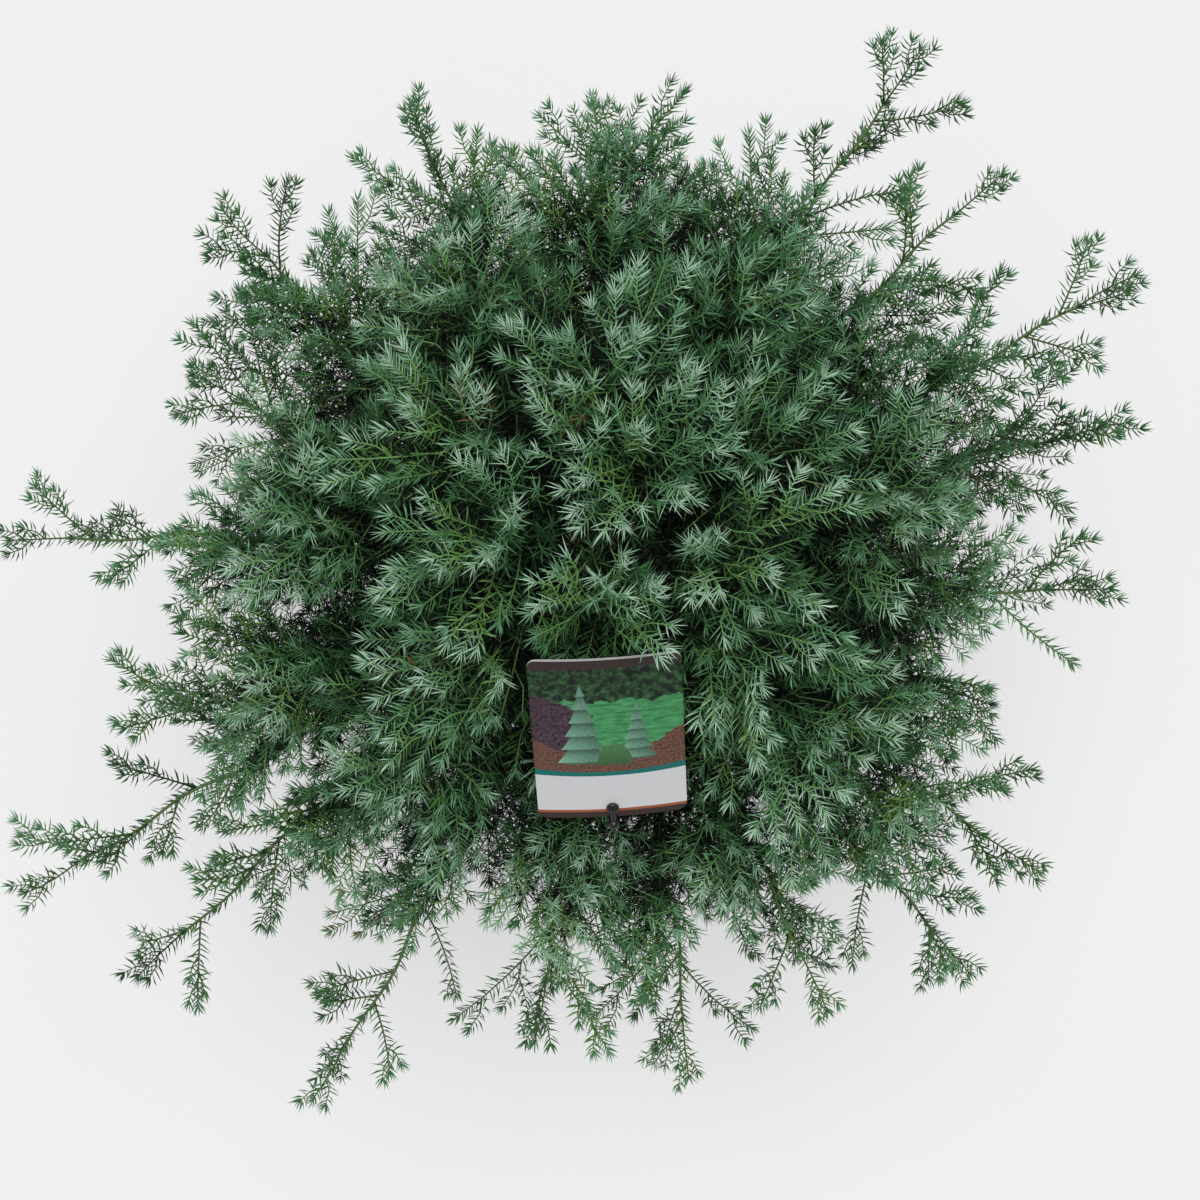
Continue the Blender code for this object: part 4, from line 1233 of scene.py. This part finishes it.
def stem_needles(number):
    """Short pieces of the stem's outer part, to bear needles as twigs do."""
    mass = masses[number]
    last = last_place(mass)
    start = mass.first + (last - mass.first) * STEM_NEEDLES_FROM
    cuts = [start + (last - start) * k / STEM_CUTS for k in range(STEM_CUTS + 1)]
    found = []
    for low, high in zip(cuts, cuts[1:]):
        root, tip = stem_at(number, low), stem_at(number, high)
        bend = 2 * stem_at(number, (low + high) / 2) - (root + tip) / 2
        found.append(Twig(root, bend, tip, STEM_TIP_RADIUS, 1, (0.0, 1.0, 0.0)))
    return found


# %% Needles and twigs, group by group
def numbers_of(tier, low=1, high=99):
    """The masses of a tier, by their number in it."""
    found = []
    for number, mass in enumerate(masses):
        name, _, digits = mass.limb.name.partition("_")
        if name == tier and low <= int(digits or 1) <= high:
            found.append(number)
    return found


GROUPS = {
    "east": numbers_of("low", 1, 3) + numbers_of("low", 21, 21),
    "north_east": numbers_of("low", 4, 6),
    "north_west": numbers_of("low", 7, 10),
    "west": numbers_of("low", 11, 14),
    "south": numbers_of("low", 15, 17),
    "south_east": numbers_of("low", 18, 20),
    "middle_north": numbers_of("middle", 1, 3),
    "middle_south": numbers_of("middle", 4, 6),
    "top": numbers_of("top") + numbers_of("crown") + numbers_of("leader"),
}
total = 0
for index, (group, numbers) in enumerate(GROUPS.items()):
    rng = np.random.default_rng(SEED + index)
    needles, wood = Bundle(), Bundle()
    for number in numbers:
        needled = twigs[number] + stem_needles(number)
        found = classes_of(needled)
        for shade_class in set(found.tolist()):
            chosen = [twig for twig, its_class in zip(needled, found) if its_class == shade_class]
            total += needles_of(chosen, shade_class, rng, needles)
        stem_bundle(number, wood)
        for rank in RINGS:
            tubes_of(twigs[number], rank, wood)
    names = ["foliage_" + masses[number].limb.name for number in numbers]
    needles.piece("needles_" + group, needle_finishes, "foliage", names)
    wood.piece("twigs_" + group, twig_finishes, "foliage", names, smooth=True)
print(total, "needles")

# %% [markdown]
# ## Bark
# Old cypress bark is thin and reddish, and peels in narrow strips that run along the wood. Noise that is
# stretched along the wood makes such strips. It moves the points of a fine tube in and out by a few
# tenths of a millimetre, and finer noise of the same kind in the finish adds the fibres between them.

# %% Strips of bark, and tubes
def strips(turn, height, radius, stretch=0.16):
    """Bark relief from -1 to 1 at a turn round the wood and a height along it: long narrow strips."""
    place = Vector((math.cos(turn) * radius, math.sin(turn) * radius, height * stretch))
    broad = noise.noise(place * 420)
    fine = noise.noise(place * 1100 + Vector((7.1, 3.3, 9.2)))
    return max(-1.0, min(1.0, 1.5 * broad + 0.6 * fine))


def closed_tube(rings, first_middle, last_middle):
    """Points and triangles of a tube of rings, closed by a fan at either end."""
    sides = len(rings[0])
    points = [point for ring in rings for point in ring] + [first_middle, last_middle]
    faces = walls(len(rings), sides)
    first, last, top = len(points) - 2, len(points) - 1, (len(rings) - 1) * sides
    for k in range(sides):
        after = (k + 1) % sides
        faces += [(first, after, k), (last, top + k, top + after)]
    return points, faces


# %% The trunk
TRUNK_RELIEF, TRUNK_AROUND, TRUNK_ALONG = 0.00055, 52, 150
ROOT_LOBES, ROOT_LOBE_DEPTH, TRUNK_SINK = 5, 0.16, 0.0035
COLLAR, COLLAR_REACH, COLLAR_BREADTH = 0.0011, 0.0085, 0.75


def trunk_swelling(height, turn):
    """How much the trunk swells where a limb leaves it, as a collar under and round the limb."""
    swelling = 0.0
    for limb in limbs[:-1]:
        azimuth = math.atan2(limb.control.y - limb.start.y, limb.control.x - limb.start.x)
        away = math.remainder(azimuth - turn, 2 * math.pi)
        near = ((height - limb.start.z) / COLLAR_REACH) ** 2 + (away / COLLAR_BREADTH) ** 2
        swelling = max(swelling, math.exp(-near))
    return swelling


def trunk_ring(height):
    """One ring of the trunk's bark, lobed at its foot."""
    middle, radius = trunk_axis(height), trunk_radius(height)
    flare = math.exp(-max(0.0, height - TRUNK_FOOT) / (1.6 * ROOT_FLARE_HEIGHT))
    ring = []
    for k in range(TRUNK_AROUND):
        turn = 2 * math.pi * k / TRUNK_AROUND
        lobe = ROOT_LOBE_DEPTH * flare * math.cos(ROOT_LOBES * turn + 0.8)
        relief = TRUNK_RELIEF * min(1.0, radius / 0.005) * strips(turn, height, radius)
        out = radius * (1 + lobe) + relief + COLLAR * (radius / TRUNK_RADIUS) * trunk_swelling(height, turn)
        ring.append(middle + out * Vector((math.cos(turn), math.sin(turn), 0)))
    return ring


def make_trunk(finish):
    """The trunk from just under the potting mix's surface to the foot of the leading shoot."""
    top = TRUNK_TOP.z
    heights = [TRUNK_FOOT - TRUNK_SINK]
    heights += [TRUNK_FOOT + (top - TRUNK_FOOT) * (k / TRUNK_ALONG) ** 1.15 for k in range(TRUNK_ALONG + 1)]
    bundle = Bundle()
    bundle.add(*closed_tube([trunk_ring(z) for z in heights], trunk_axis(heights[0]), trunk_axis(top)))
    bundle.piece("trunk_bark", [finish], "bark", ["trunk"], smooth=True)


# %% The boughs
BOUGH_RELIEF, BOUGH_AROUND, BOUGH_ALONG = 0.00022, 12, 30
BOUGH_FLARE, BOUGH_FLARE_LENGTH = 0.35, 0.008


def make_boughs(finish):
    """The bare inner parts of the limbs, each from inside the trunk to the foot of its mass's stem."""
    bundle, names = Bundle(), []
    for number, mass in enumerate(masses):
        limb = mass.limb
        if not limb.bough_share:
            continue
        rings = []
        for k in range(BOUGH_ALONG + 1):
            share = k / BOUGH_ALONG
            t = mass.first * share
            level, upright = side_frame(limb.heading(t))
            base = BOUGH_RADIUS + (BOUGH_TIP_RADIUS - BOUGH_RADIUS) * share
            base *= 1 + BOUGH_FLARE * math.exp(-t * limb.length() / BOUGH_FLARE_LENGTH)
            ring = []
            for j in range(BOUGH_AROUND):
                turn = 2 * math.pi * j / BOUGH_AROUND
                out = base + BOUGH_RELIEF * strips(turn, t * limb.length() + number, base)
                ring.append(stem_at(number, t) + out * (math.cos(turn) * level + math.sin(turn) * upright))
            rings.append(ring)
        bundle.add(*closed_tube(rings, stem_at(number, 0.0), stem_at(number, mass.first)))
        names.append("bough_" + limb.name)
    bundle.piece("bough_bark", [finish], "bark", names, smooth=True)


# %% The bark's finish
BARK_COLOURS = ((0.035, 0.020, 0.012), (0.125, 0.062, 0.034), (0.215, 0.125, 0.075), (0.260, 0.190, 0.135))
BARK_HIGH_UP = (0.016, 0.015, 0.008)


def bark_finish():
    """Red-brown bark with grey strips that run along the wood."""
    bark = Finish("peeling_bark", BARK_COLOURS[1], 0.85)
    place = bark.place((1.0, 1.0, 0.14))
    broad, fine = bark.grain(place, 420.0, 4.0), bark.grain(place, 1500.0, 5.0, 0.65)
    relief = broad * 0.65 + fine * 0.35
    stops = list(zip((0.34, 0.47, 0.58, 0.70), BARK_COLOURS))
    old = bark.node("ShaderNodeValToRGB", {"stops": stops}, {"Fac": relief})
    # Above a height of 0.19 to 0.25 m the bark turns nearly black
    higher_up = bark.axis(bark.place(), "Z").steep(0.19, 0.25) * 0.95
    bark.coat(bark.blend(higher_up, old, BARK_HIGH_UP), 0.78 + fine * 0.2)
    bark.bump(relief, 0.0006)
    return bark.material


bark = bark_finish()
make_trunk(bark)
make_boughs(bark)

# %% [markdown]
# ## The pot
# A nursery pot is thin black plastic, blown or pressed in a mould, with a stiff rolled rim. The packed
# solid has the right wall, but with few sides. The visible one is turned from a profile with round
# corners and 120 sides. The plastic is dull, a little lighter where it is scuffed, and dusty with dried
# potting mix.

# %% A turned pot
POT_SIDES = 120


def rounded(corners, radius, steps=4):
    """A profile with its inner corners rounded: each corner is replaced by a short arc."""
    found = [corners[0]]
    for before, corner, after in zip(corners, corners[1:], corners[2:]):
        corner, before, after = Vector(corner), Vector(before), Vector(after)
        reach = min(radius, 0.45 * (corner - before).length, 0.45 * (after - corner).length)
        start = corner + (before - corner).normalized() * reach
        end = corner + (after - corner).normalized() * reach
        for k in range(steps + 1):
            u = k / steps
            found.append(tuple((1 - u) ** 2 * start + 2 * u * (1 - u) * corner + u * u * end))
    return found + [corners[-1]]


def turned_points(profile, sides):
    """Rings and the two middle points of a body turned from (radius, height) points."""
    turns = [2 * math.pi * k / sides for k in range(sides)]
    rings = [[(radius * math.cos(a), radius * math.sin(a), z) for a in turns] for radius, z in profile]
    return rings, (0, 0, profile[0][1]), (0, 0, profile[-1][1])


def pot_radius(height):
    return POT_FOOT_RADIUS + (POT_TOP_RADIUS - POT_FOOT_RADIUS) * height / POT_HEIGHT


def make_pot():
    """The pot, with its finish of moulded plastic."""
    rim_foot, rim = POT_HEIGHT - RIM_HEIGHT, POT_TOP_RADIUS + RIM_STAND_OUT
    corners = [
        (POT_FOOT_RADIUS - 0.0045, 0.0), (POT_FOOT_RADIUS, 0.0),
        (pot_radius(rim_foot - 0.004), rim_foot - 0.004), (rim - 0.0006, rim_foot),
        (rim, POT_HEIGHT), (POT_TOP_RADIUS - POT_WALL, POT_HEIGHT),
        (POT_FOOT_RADIUS - POT_WALL, POT_FLOOR), (POT_FOOT_RADIUS - 0.008, POT_FLOOR),
    ]
    plastic = Finish("pot_moulded_plastic", (0.024, 0.025, 0.026), 0.5)
    place = plastic.place()
    fine, broad = plastic.grain(place, 900.0, 4.0), plastic.grain(place, 28.0, 5.0, 0.6)
    low_dust = (1 - plastic.axis(place, "Z").steep(0.0, 0.045)) * broad.steep(0.42, 0.62)
    scuffs = plastic.grain(plastic.place((1.0, 1.0, 0.25)), 160.0, 6.0, 0.7).steep(0.62, 0.72)
    dark = plastic.blend(scuffs * 0.35, (0.022, 0.023, 0.024), (0.085, 0.083, 0.080))
    dusty = plastic.blend(low_dust * 0.55, dark, (0.115, 0.095, 0.072))
    plastic.coat(dusty, 0.42 + broad * 0.18 + low_dust * 0.25)
    plastic.bump(fine * 0.5 + scuffs * 0.5, 0.00012)
    bundle = Bundle()
    bundle.add(*closed_tube(*turned_points(rounded(corners, 0.0016), POT_SIDES)))
    pot = bundle.piece("nursery_pot", [plastic.material], "pot_plastic", ["pot"], smooth=True)
    pot.data.set_sharp_from_angle(angle=math.radians(40))


make_pot()

# %% [markdown]
# ## The potting mix
# Potting mix is dark crumbs of peat with pale bits of bark in it. Its visible face is a disc whose points
# are moved up and down by noise at three sizes, and loose crumbs and bark chips lie half sunk in it.

# %% A crumbly face, and chips
MIX_RELIEF = 0.0022


def mix_height(x, y):
    """The height of the potting mix at a place: a crumbly face, a little lower at the wall."""
    out = math.hypot(x, y) / pot_radius(MIX_TOP)
    place = Vector((x, y, 0))
    rough = noise.noise(place * 70) * 0.5 + noise.noise(place * 260) * 0.35
    rough += noise.noise(place * 700) * 0.25
    return MIX_TOP - 0.6 * MIX_RELIEF + MIX_RELIEF * (0.8 * rough - 0.35 * out ** 6)


def chip(dice):
    """One angular crumb or chip: a squashed, dented block of 12 points, half sunk in the mix."""
    turn, away = dice.uniform(0, 2 * math.pi), (pot_radius(MIX_TOP) - 0.007) * math.sqrt(dice.random())
    away = max(away, TRUNK_RADIUS * ROOT_FLARE + 0.004)
    x, y = away * math.cos(turn), away * math.sin(turn)
    length = dice.uniform(0.0016, 0.0062)
    sizes = Vector((length, length * dice.uniform(0.35, 0.8), length * dice.uniform(0.22, 0.5))) / 2
    spin = Matrix.Rotation(dice.uniform(0, 6.3), 3, "Z") @ Matrix.Rotation(dice.uniform(-0.5, 0.5), 3, "X")
    middle = Vector((x, y, min(mix_height(x, y) + sizes.z * 0.3, MIX_TOP + 0.001)))
    rings = []
    for level, width in ((-1.0, 0.7), (-0.1, 1.0), (0.9, 0.72)):
        ring = []
        for k in range(6):
            a = 2 * math.pi * k / 6
            dent = dice.uniform(0.78, 1.08)
            across_x = math.cos(a) * width * dent * sizes.x
            across_y = math.sin(a) * width * dent * sizes.y
            ring.append(middle + spin @ Vector((across_x, across_y, level * sizes.z)))
        rings.append(ring)
    ends = [sum(ring, Vector()) / 6 for ring in (rings[0], rings[-1])]
    return closed_tube(rings, *ends)


# %% The body of the mix
MIX_RINGS, MIX_SIDES, CHIPS, CHIP_SEED = 44, 168, 260, 5


def crumb_finish(name, dark, pale, size):
    """Matt brown crumbs of two colours."""
    crumbs = Finish(name, dark, 0.95, {"Specular IOR Level": 0.2})
    place = crumbs.place()
    broad, fine = crumbs.grain(place, size, 5.0, 0.7), crumbs.grain(place, size * 4, 4.0, 0.6)
    share = (broad * 0.6 + fine * 0.4).steep(0.40, 0.66)
    crumbs.coat(crumbs.blend(share, dark, pale), 0.82 + fine * 0.15)
    crumbs.bump(broad * 0.5 + fine * 0.5, 0.0009)
    return crumbs.material


def make_mix():
    """The mix as one closed body, and its chips as another piece on it."""
    inside = POT_WALL + 2 * GAP
    low = POT_FLOOR + GAP
    radius, low_radius = pot_radius(MIX_TOP) - inside, pot_radius(low) - inside
    turns = [2 * math.pi * k / MIX_SIDES for k in range(MIX_SIDES)]
    rings = [[(low_radius * math.cos(a), low_radius * math.sin(a), low) for a in turns]]
    for k in range(MIX_RINGS):
        reach = radius * (1 - k / MIX_RINGS)
        ring = [(reach * math.cos(a), reach * math.sin(a)) for a in turns]
        rings.append([(x, y, mix_height(x, y)) for x, y in ring])
    bundle, chips = Bundle(), Bundle()
    bundle.add(*closed_tube(rings, (0, 0, low), (0, 0, mix_height(0, 0))))
    mix = crumb_finish("potting_mix_crumbs", (0.016, 0.010, 0.007), (0.085, 0.055, 0.034), 420.0)
    bundle.piece("potting_mix_face", [mix], "potting_mix", ["potting_mix"], smooth=True)
    dice = random.Random(CHIP_SEED)
    for _ in range(CHIPS):
        chips.add(*chip(dice), slots=dice.choice((0, 0, 1)))
    dark = crumb_finish("chip_dark_bark", (0.030, 0.018, 0.011), (0.110, 0.066, 0.040), 650.0)
    pale = crumb_finish("chip_pale_wood", (0.100, 0.062, 0.036), (0.260, 0.180, 0.115), 650.0)
    chips.piece("bark_chips", [dark, pale], "potting_mix", ["potting_mix"])


make_mix()

# %% [markdown]
# ## The picture label
# Garden centres hang a printed plastic card on a stick in each pot. This one is bowed and has round
# corners. Its print is worked out from the place on the card alone: bands at its ends, and a plain garden
# with two cone-shaped conifers in tiers and a low dome on a bed of bark, drawn with edges that noise
# makes ragged.

# %% The print
CARD_WHITE, CARD_EDGE = (0.72, 0.72, 0.74), (0.52, 0.51, 0.50)
# For each plant in the picture: its middle, foot, half width and height
CONIFERS = ((0.33, 0.360, 0.175, 0.50), (0.69, 0.375, 0.130, 0.36))
DOME, PRINT_TIERS = (0.535, 0.345, 0.115, 0.13), 6.0


def texture(print_, place, size, low, high, detail=4.0, sharp=(0.38, 0.62)):
    """A colour that wanders between two, for leaves, lawn or bark in the picture."""
    return print_.blend(print_.grain(place, size, detail, 0.65).steep(*sharp), low, high)


def garden(print_, u, v, place):
    """The picture's colour at a place: u across the card and v up it, both from 0 to 1."""
    ragged = (print_.grain(place, 46.0, 4.0, 0.7) - 0.5) * 0.075
    slow = print_.grain(place, 7.0, 2.0) - 0.5
    trees = texture(print_, place, 19.0, (0.004, 0.010, 0.007), (0.045, 0.140, 0.045), 6.0, (0.44, 0.64))
    mown = print_.stretch(place, (0.35, 1.6, 1.0))
    lawn = texture(print_, mown, 26.0, (0.030, 0.200, 0.060), (0.090, 0.400, 0.150))
    heather = texture(print_, place, 38.0, (0.018, 0.010, 0.018), (0.110, 0.062, 0.088))
    bark_bed = texture(print_, place, 60.0, (0.060, 0.028, 0.020), (0.240, 0.110, 0.070))
    ground = v + slow * 0.10 + ragged * 0.4
    seen = print_.blend(ground.below(0.74), trees, lawn)
    seen = print_.blend((ground + u * 0.35).below(0.80) * (u + ragged).below(0.40), seen, heather)
    seen = print_.blend((ground - (u - 0.45) * (u - 0.45) * 0.55).below(0.400), seen, bark_bed)
    for middle, foot, half_width, height in CONIFERS:
        side, rise = (u - middle) / half_width, (v - foot) / height
        tier = print_.node("ShaderNodeMath", {"operation": "FRACT"}, {0: rise * PRINT_TIERS})
        tier_width = (1 - rise) * (1.0 - tier * 0.34)
        inside = (side.size() - tier_width + ragged * 2.2).below(0.0) * rise.above(-0.02)
        leaf = print_.grain(place, 70.0, 3.0, 0.7).steep(0.32, 0.68)
        lit = (0.62 - side * 0.34) * (0.45 + leaf * 0.55) * (1.1 - tier * tier * 0.85)
        seen = print_.blend(inside, seen, print_.blend(lit, (0.010, 0.045, 0.028), (0.300, 0.620, 0.440)))
    middle, foot, half_width, height = DOME
    side, rise = (u - middle) / half_width, (v - foot) / height
    inside = (side * side + rise * rise + ragged * 2.0).below(1.0) * rise.above(-0.05)
    lit = (0.35 + rise * 0.45) * (0.5 + print_.grain(place, 80.0, 3.0, 0.7).steep(0.32, 0.68) * 0.5)
    return print_.blend(inside, seen, print_.blend(lit, (0.014, 0.050, 0.016), (0.130, 0.340, 0.120)))


def card_print():
    """The finish of the card's face."""
    print_ = Finish("label_print", CARD_WHITE, 0.32)
    found = print_.node("ShaderNodeTexCoord", {}, {}, "UV")
    flat = print_.stretch(found, (1.0, CARD_LENGTH / CARD_WIDTH, 1.0))
    u, v = print_.axis(found, "X"), print_.axis(found, "Y")
    curve = (u - 0.5) * (u - 0.5) * 0.11
    dust = print_.grain(flat, 90.0, 5.0, 0.7)
    colour = garden(print_, u, v, flat)
    for band, ink in (
        ((v - curve).below(0.293), (0.004, 0.165, 0.150)),
        ((v - curve * 0.55).below(0.268), CARD_WHITE),
        (v.below(0.052), (0.380, 0.110, 0.035)),
        (v.below(0.036), (0.040, 0.024, 0.021)),
        (v.above(0.942), (0.045, 0.030, 0.028)),
        (v.above(0.994), CARD_EDGE),
        (dust.steep(0.62, 0.80) * 0.12, (0.45, 0.42, 0.38)),
    ):
        colour = print_.blend(band, colour, ink)
    print_.coat(colour, 0.24 + dust * 0.22)
    print_.bump(print_.grain(flat, 240.0, 2.0), 0.00004)
    return print_.material


# %% The card
CARD_ROWS, CARD_SIDE_COLUMNS, CARD_MIDDLE_COLUMNS = 20, 6, 20


def corner_cut(x):
    """How far short of its full length the card ends at x, where a round corner takes it in."""
    past = abs(x) - (CARD_WIDTH / 2 - CARD_CORNER)
    return CARD_CORNER - math.sqrt(max(0.0, CARD_CORNER ** 2 - past ** 2)) if past > 0 else 0.0


def card_columns():
    """Places across the card, closer together in its round corners."""
    flat = CARD_WIDTH / 2 - CARD_CORNER
    middle = [flat * (2 * k / CARD_MIDDLE_COLUMNS - 1) for k in range(CARD_MIDDLE_COLUMNS + 1)]
    turns = [math.pi / 2 * k / CARD_SIDE_COLUMNS for k in range(1, CARD_SIDE_COLUMNS + 1)]
    side = [flat + CARD_CORNER * math.sin(turn) for turn in turns]
    return [-x for x in reversed(side)] + middle + side


def plastic_finish(name, colour, roughness):
    """Smooth moulded plastic with faint flow marks and dust."""
    plastic = Finish(name, colour, roughness)
    place = plastic.place()
    flow, dust = plastic.grain(place, 160.0, 3.0), plastic.grain(place, 900.0, 4.0, 0.7).steep(0.60, 0.80)
    dusty = plastic.blend(dust * 0.3, colour, (0.16, 0.14, 0.12))
    plastic.coat(dusty, roughness - 0.06 + flow * 0.14 + dust * 0.2)
    plastic.bump(flow, 0.00005)
    return plastic.material


def make_card():
    """The card as a closed plate: its printed face, its plain back and its edges."""
    columns = card_columns()
    points, places, faces, finish_numbers = [], [], [], []
    for lift in (CARD_THICKNESS / 2, -CARD_THICKNESS / 2):
        for x in columns:
            for row in range(CARD_ROWS + 1):
                cut = corner_cut(x)
                y = cut + (CARD_LENGTH - 2 * cut) * row / CARD_ROWS
                points.append(card_matrix() @ Vector((x, y, card_bow(x) + lift)))
                places.append((x / CARD_WIDTH + 0.5, y / CARD_LENGTH))
    tall, wide = CARD_ROWS + 1, len(columns)
    back = wide * tall
    for i in range(wide - 1):
        for j in range(CARD_ROWS):
            a, b = i * tall + j, (i + 1) * tall + j
            faces += [(a, b, b + 1, a + 1), (back + a, back + a + 1, back + b + 1, back + b)]
            finish_numbers += [0, 1]
    rim = [i * tall for i in range(wide)] + [(wide - 1) * tall + j for j in range(1, tall)]
    rim += [i * tall + CARD_ROWS for i in range(wide - 2, -1, -1)] + list(range(CARD_ROWS - 1, 0, -1))
    for a, b in zip(rim, rim[1:] + rim[:1]):
        faces.append((b, a, back + a, back + b))
        finish_numbers.append(1)
    mesh = bpy.data.meshes.new("picture_card")
    mesh.from_pydata(points, [], faces)
    mesh.polygons.foreach_set("material_index", finish_numbers)
    layer = mesh.uv_layers.new(name="print")
    for loop in mesh.loops:
        layer.data[loop.index].uv = places[loop.vertex_index]
    mesh.materials.append(card_print())
    mesh.materials.append(plastic_finish("label_back", CARD_WHITE, 0.42))
    mesh.shade_smooth()
    mesh.set_sharp_from_angle(angle=math.radians(40))
    card = placed("picture_card", mesh)
    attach(card, "root")
    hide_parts("label_card")
    print("picture_card:", len(faces), "faces, finishes", sorted(set(finish_numbers)))


make_card()

# %% The stick, its button and its pin
BUTTON_RADIUS, BUTTON_HEIGHT, BUTTON_INSET = 0.0026, 0.0016, 0.0052
PIN_RADIUS, PIN_HEAD_RADIUS, PIN_HEAD_HEIGHT = 0.0012, 0.0019, 0.0012


def turned_rod(path, sides=24):
    """A body turned round a straight or bent line, from (point, radius) pairs."""
    rings = []
    for k, (point, radius) in enumerate(path):
        before, after = path[max(0, k - 1)][0], path[min(len(path) - 1, k + 1)][0]
        rings.append(circle(point, radius, (after - before).normalized(), sides))
    return closed_tube(rings, path[0][0], path[-1][0])


def ball_path(middle, way, radius, start=-1.0, steps=12):
    """(point, radius) pairs of a ball from a share of its radius before its middle to its far side."""
    first = math.asin(start)
    turns = [first + (math.pi / 2 - first) * k / steps for k in range(steps + 1)]
    return [(middle + way * radius * math.sin(a), max(0.00002, radius * math.cos(a))) for a in turns]


def make_stick():
    """The stick with its ball, the arm over the card's edge, and the button with its pin."""
    matrix, top = card_matrix(), stick_top()
    way = (top - STICK_FOOT).normalized()
    face = card_bow(0) + CARD_THICKNESS / 2 + GAP
    back = card_bow(0) - CARD_THICKNESS / 2 - GAP
    neck = top - way * (STICK_BALL * 0.8)
    bundle = Bundle()
    shaft = [(STICK_FOOT.lerp(neck, k / 8), STICK_RADIUS * (0.8 + 0.2 * k / 8)) for k in range(9)]
    bundle.add(*turned_rod(shaft + ball_path(top, way, STICK_BALL, -0.74)))
    arm_end = matrix @ Vector((0, BUTTON_INSET, face + STICK_RADIUS * 0.9))
    bundle.add(*turned_rod([(top.lerp(arm_end, k / 6), PIN_RADIUS * (1 - 0.3 * k / 6)) for k in range(7)]))
    out = (matrix @ Vector((0, 0, 1)) - matrix @ Vector((0, 0, 0))).normalized()

    def on_card(rise):
        return matrix @ Vector((0, BUTTON_INSET, 0)) + out * rise

    end = face + BUTTON_HEIGHT
    profile = [(face, 0.94), (face + 0.0002, 1.0), (end - 0.0006, 0.98), (end - 0.0002, 0.86), (end, 0.55)]
    bundle.add(*turned_rod([(on_card(rise), BUTTON_RADIUS * share) for rise, share in profile]))
    pin = [(back - PIN_HEAD_HEIGHT, PIN_HEAD_RADIUS * 0.8), (back - PIN_HEAD_HEIGHT * 0.7, PIN_HEAD_RADIUS)]
    pin += [(back - 0.0002, PIN_HEAD_RADIUS), (back, PIN_RADIUS), (face + BUTTON_HEIGHT / 2, PIN_RADIUS)]
    bundle.add(*turned_rod([(on_card(rise), radius) for rise, radius in pin]))
    black = plastic_finish("stick_black_plastic", (0.012, 0.012, 0.013), 0.34)
    stick = bundle.piece("label_stick_and_button", [black], "label_stick", ["label_stick"], smooth=True)
    stick.data.set_sharp_from_angle(angle=math.radians(50))


make_stick()

# %% [markdown]
# ## The studio
# The photograph is taken straight from above, over a white floor in soft light. A camera 1.4 m up with a
# narrow lens gives the same frame. A broad sun overhead and a bright sky make the soft light. A white
# floor in a studio is lit on its own, so that the plant throws hardly a shadow: here it glows a little by
# itself, as painted light, and glows less right under the plant, as a painted shadow.

# %% The floor
FLOOR_GLOW, FLOOR_SHADE, FLOOR_RADIUS, FLOOR_SIDES = 0.57, (0.08, 0.18), 6, 96


def studio_floor():
    """A wide pale disc that the pot stands on."""
    paint = Finish("studio_floor", (0.30, 0.30, 0.30), 0.9, {"Specular IOR Level": 0.0})
    cloud = paint.grain(paint.place(), 3.0)
    paint.give(paint.shader, {"Base Color": paint.blend(cloud, (0.29, 0.29, 0.29), (0.32, 0.32, 0.32))})
    away = paint.node("ShaderNodeVectorMath", {"operation": "LENGTH"}, {0: paint.place()}, "Value")
    # The floor's glow is painted light, and it is lower near the pot's axis as a painted shadow under the
    # plant
    glow_and_painted_shadow = paint.blend(away.steep(*FLOOR_SHADE), (0.66, 0.66, 0.66), (1.0, 1.0, 1.0))
    paint.give(paint.shader, {"Emission Color": glow_and_painted_shadow, "Emission Strength": FLOOR_GLOW})
    angles = np.linspace(0, 2 * np.pi, FLOOR_SIDES, endpoint=False)
    edge = [(FLOOR_RADIUS * math.cos(a), FLOOR_RADIUS * math.sin(a), 0) for a in angles]
    mesh = bpy.data.meshes.new("studio_floor")
    mesh.from_pydata(edge, [], [tuple(range(FLOOR_SIDES))])
    mesh.materials.append(paint.material)
    placed("studio_floor", mesh)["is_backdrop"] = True


studio_floor()

# %% Lamps and camera
CAMERA_HEIGHT, CAMERA_SHIFT, SEEN_WIDTH, SEEN_HEIGHT = 1.40, -0.0168, 0.504, 0.27
SUN_STRENGTH, SUN_BREADTH, SUN_TILT, SKY_STRENGTH = 2.5, math.radians(50), math.radians(14), 0.24
sun = bpy.data.lights.new("broad_sun", "SUN")
sun.energy, sun.angle = SUN_STRENGTH, SUN_BREADTH
placed("broad_sun", sun).rotation_euler = (-SUN_TILT, 0, 0)

world = bpy.data.worlds.new("studio_air")
world.use_nodes = True
sky = world.node_tree.nodes["Background"].inputs
sky["Color"].default_value, sky["Strength"].default_value = (0.97, 0.985, 1.0, 1), SKY_STRENGTH
bpy.context.scene.world = world

camera = bpy.data.cameras.new("camera_above")
camera.sensor_width = 36
camera.lens = 18 / (SEEN_WIDTH / 2 / (CAMERA_HEIGHT - SEEN_HEIGHT))
eye = placed("camera_above", camera)
eye.location = (0, CAMERA_SHIFT, CAMERA_HEIGHT)
bpy.context.scene.camera = eye
bpy.context.scene.view_settings.view_transform = "Standard"
print("camera", eye.location, "lens", round(camera.lens, 1), "sun", sun.energy, "sky", SKY_STRENGTH)

# %% [markdown]
# ## Sizes and the end
# The dressed plant is meant to stay in the box of its solids, apart from soft needle tips, so the box of
# what is shown is measured, and how far its corners moved from the solids' box is printed.

# %% Both boxes
seen_box = [list(corner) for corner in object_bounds()]
grown_mm = [[round(1000 * (b - a), 1) for a, b in zip(*pair)] for pair in zip(cad_box, seen_box)]
print("lowest and highest corners moved by, in mm:", grown_mm)
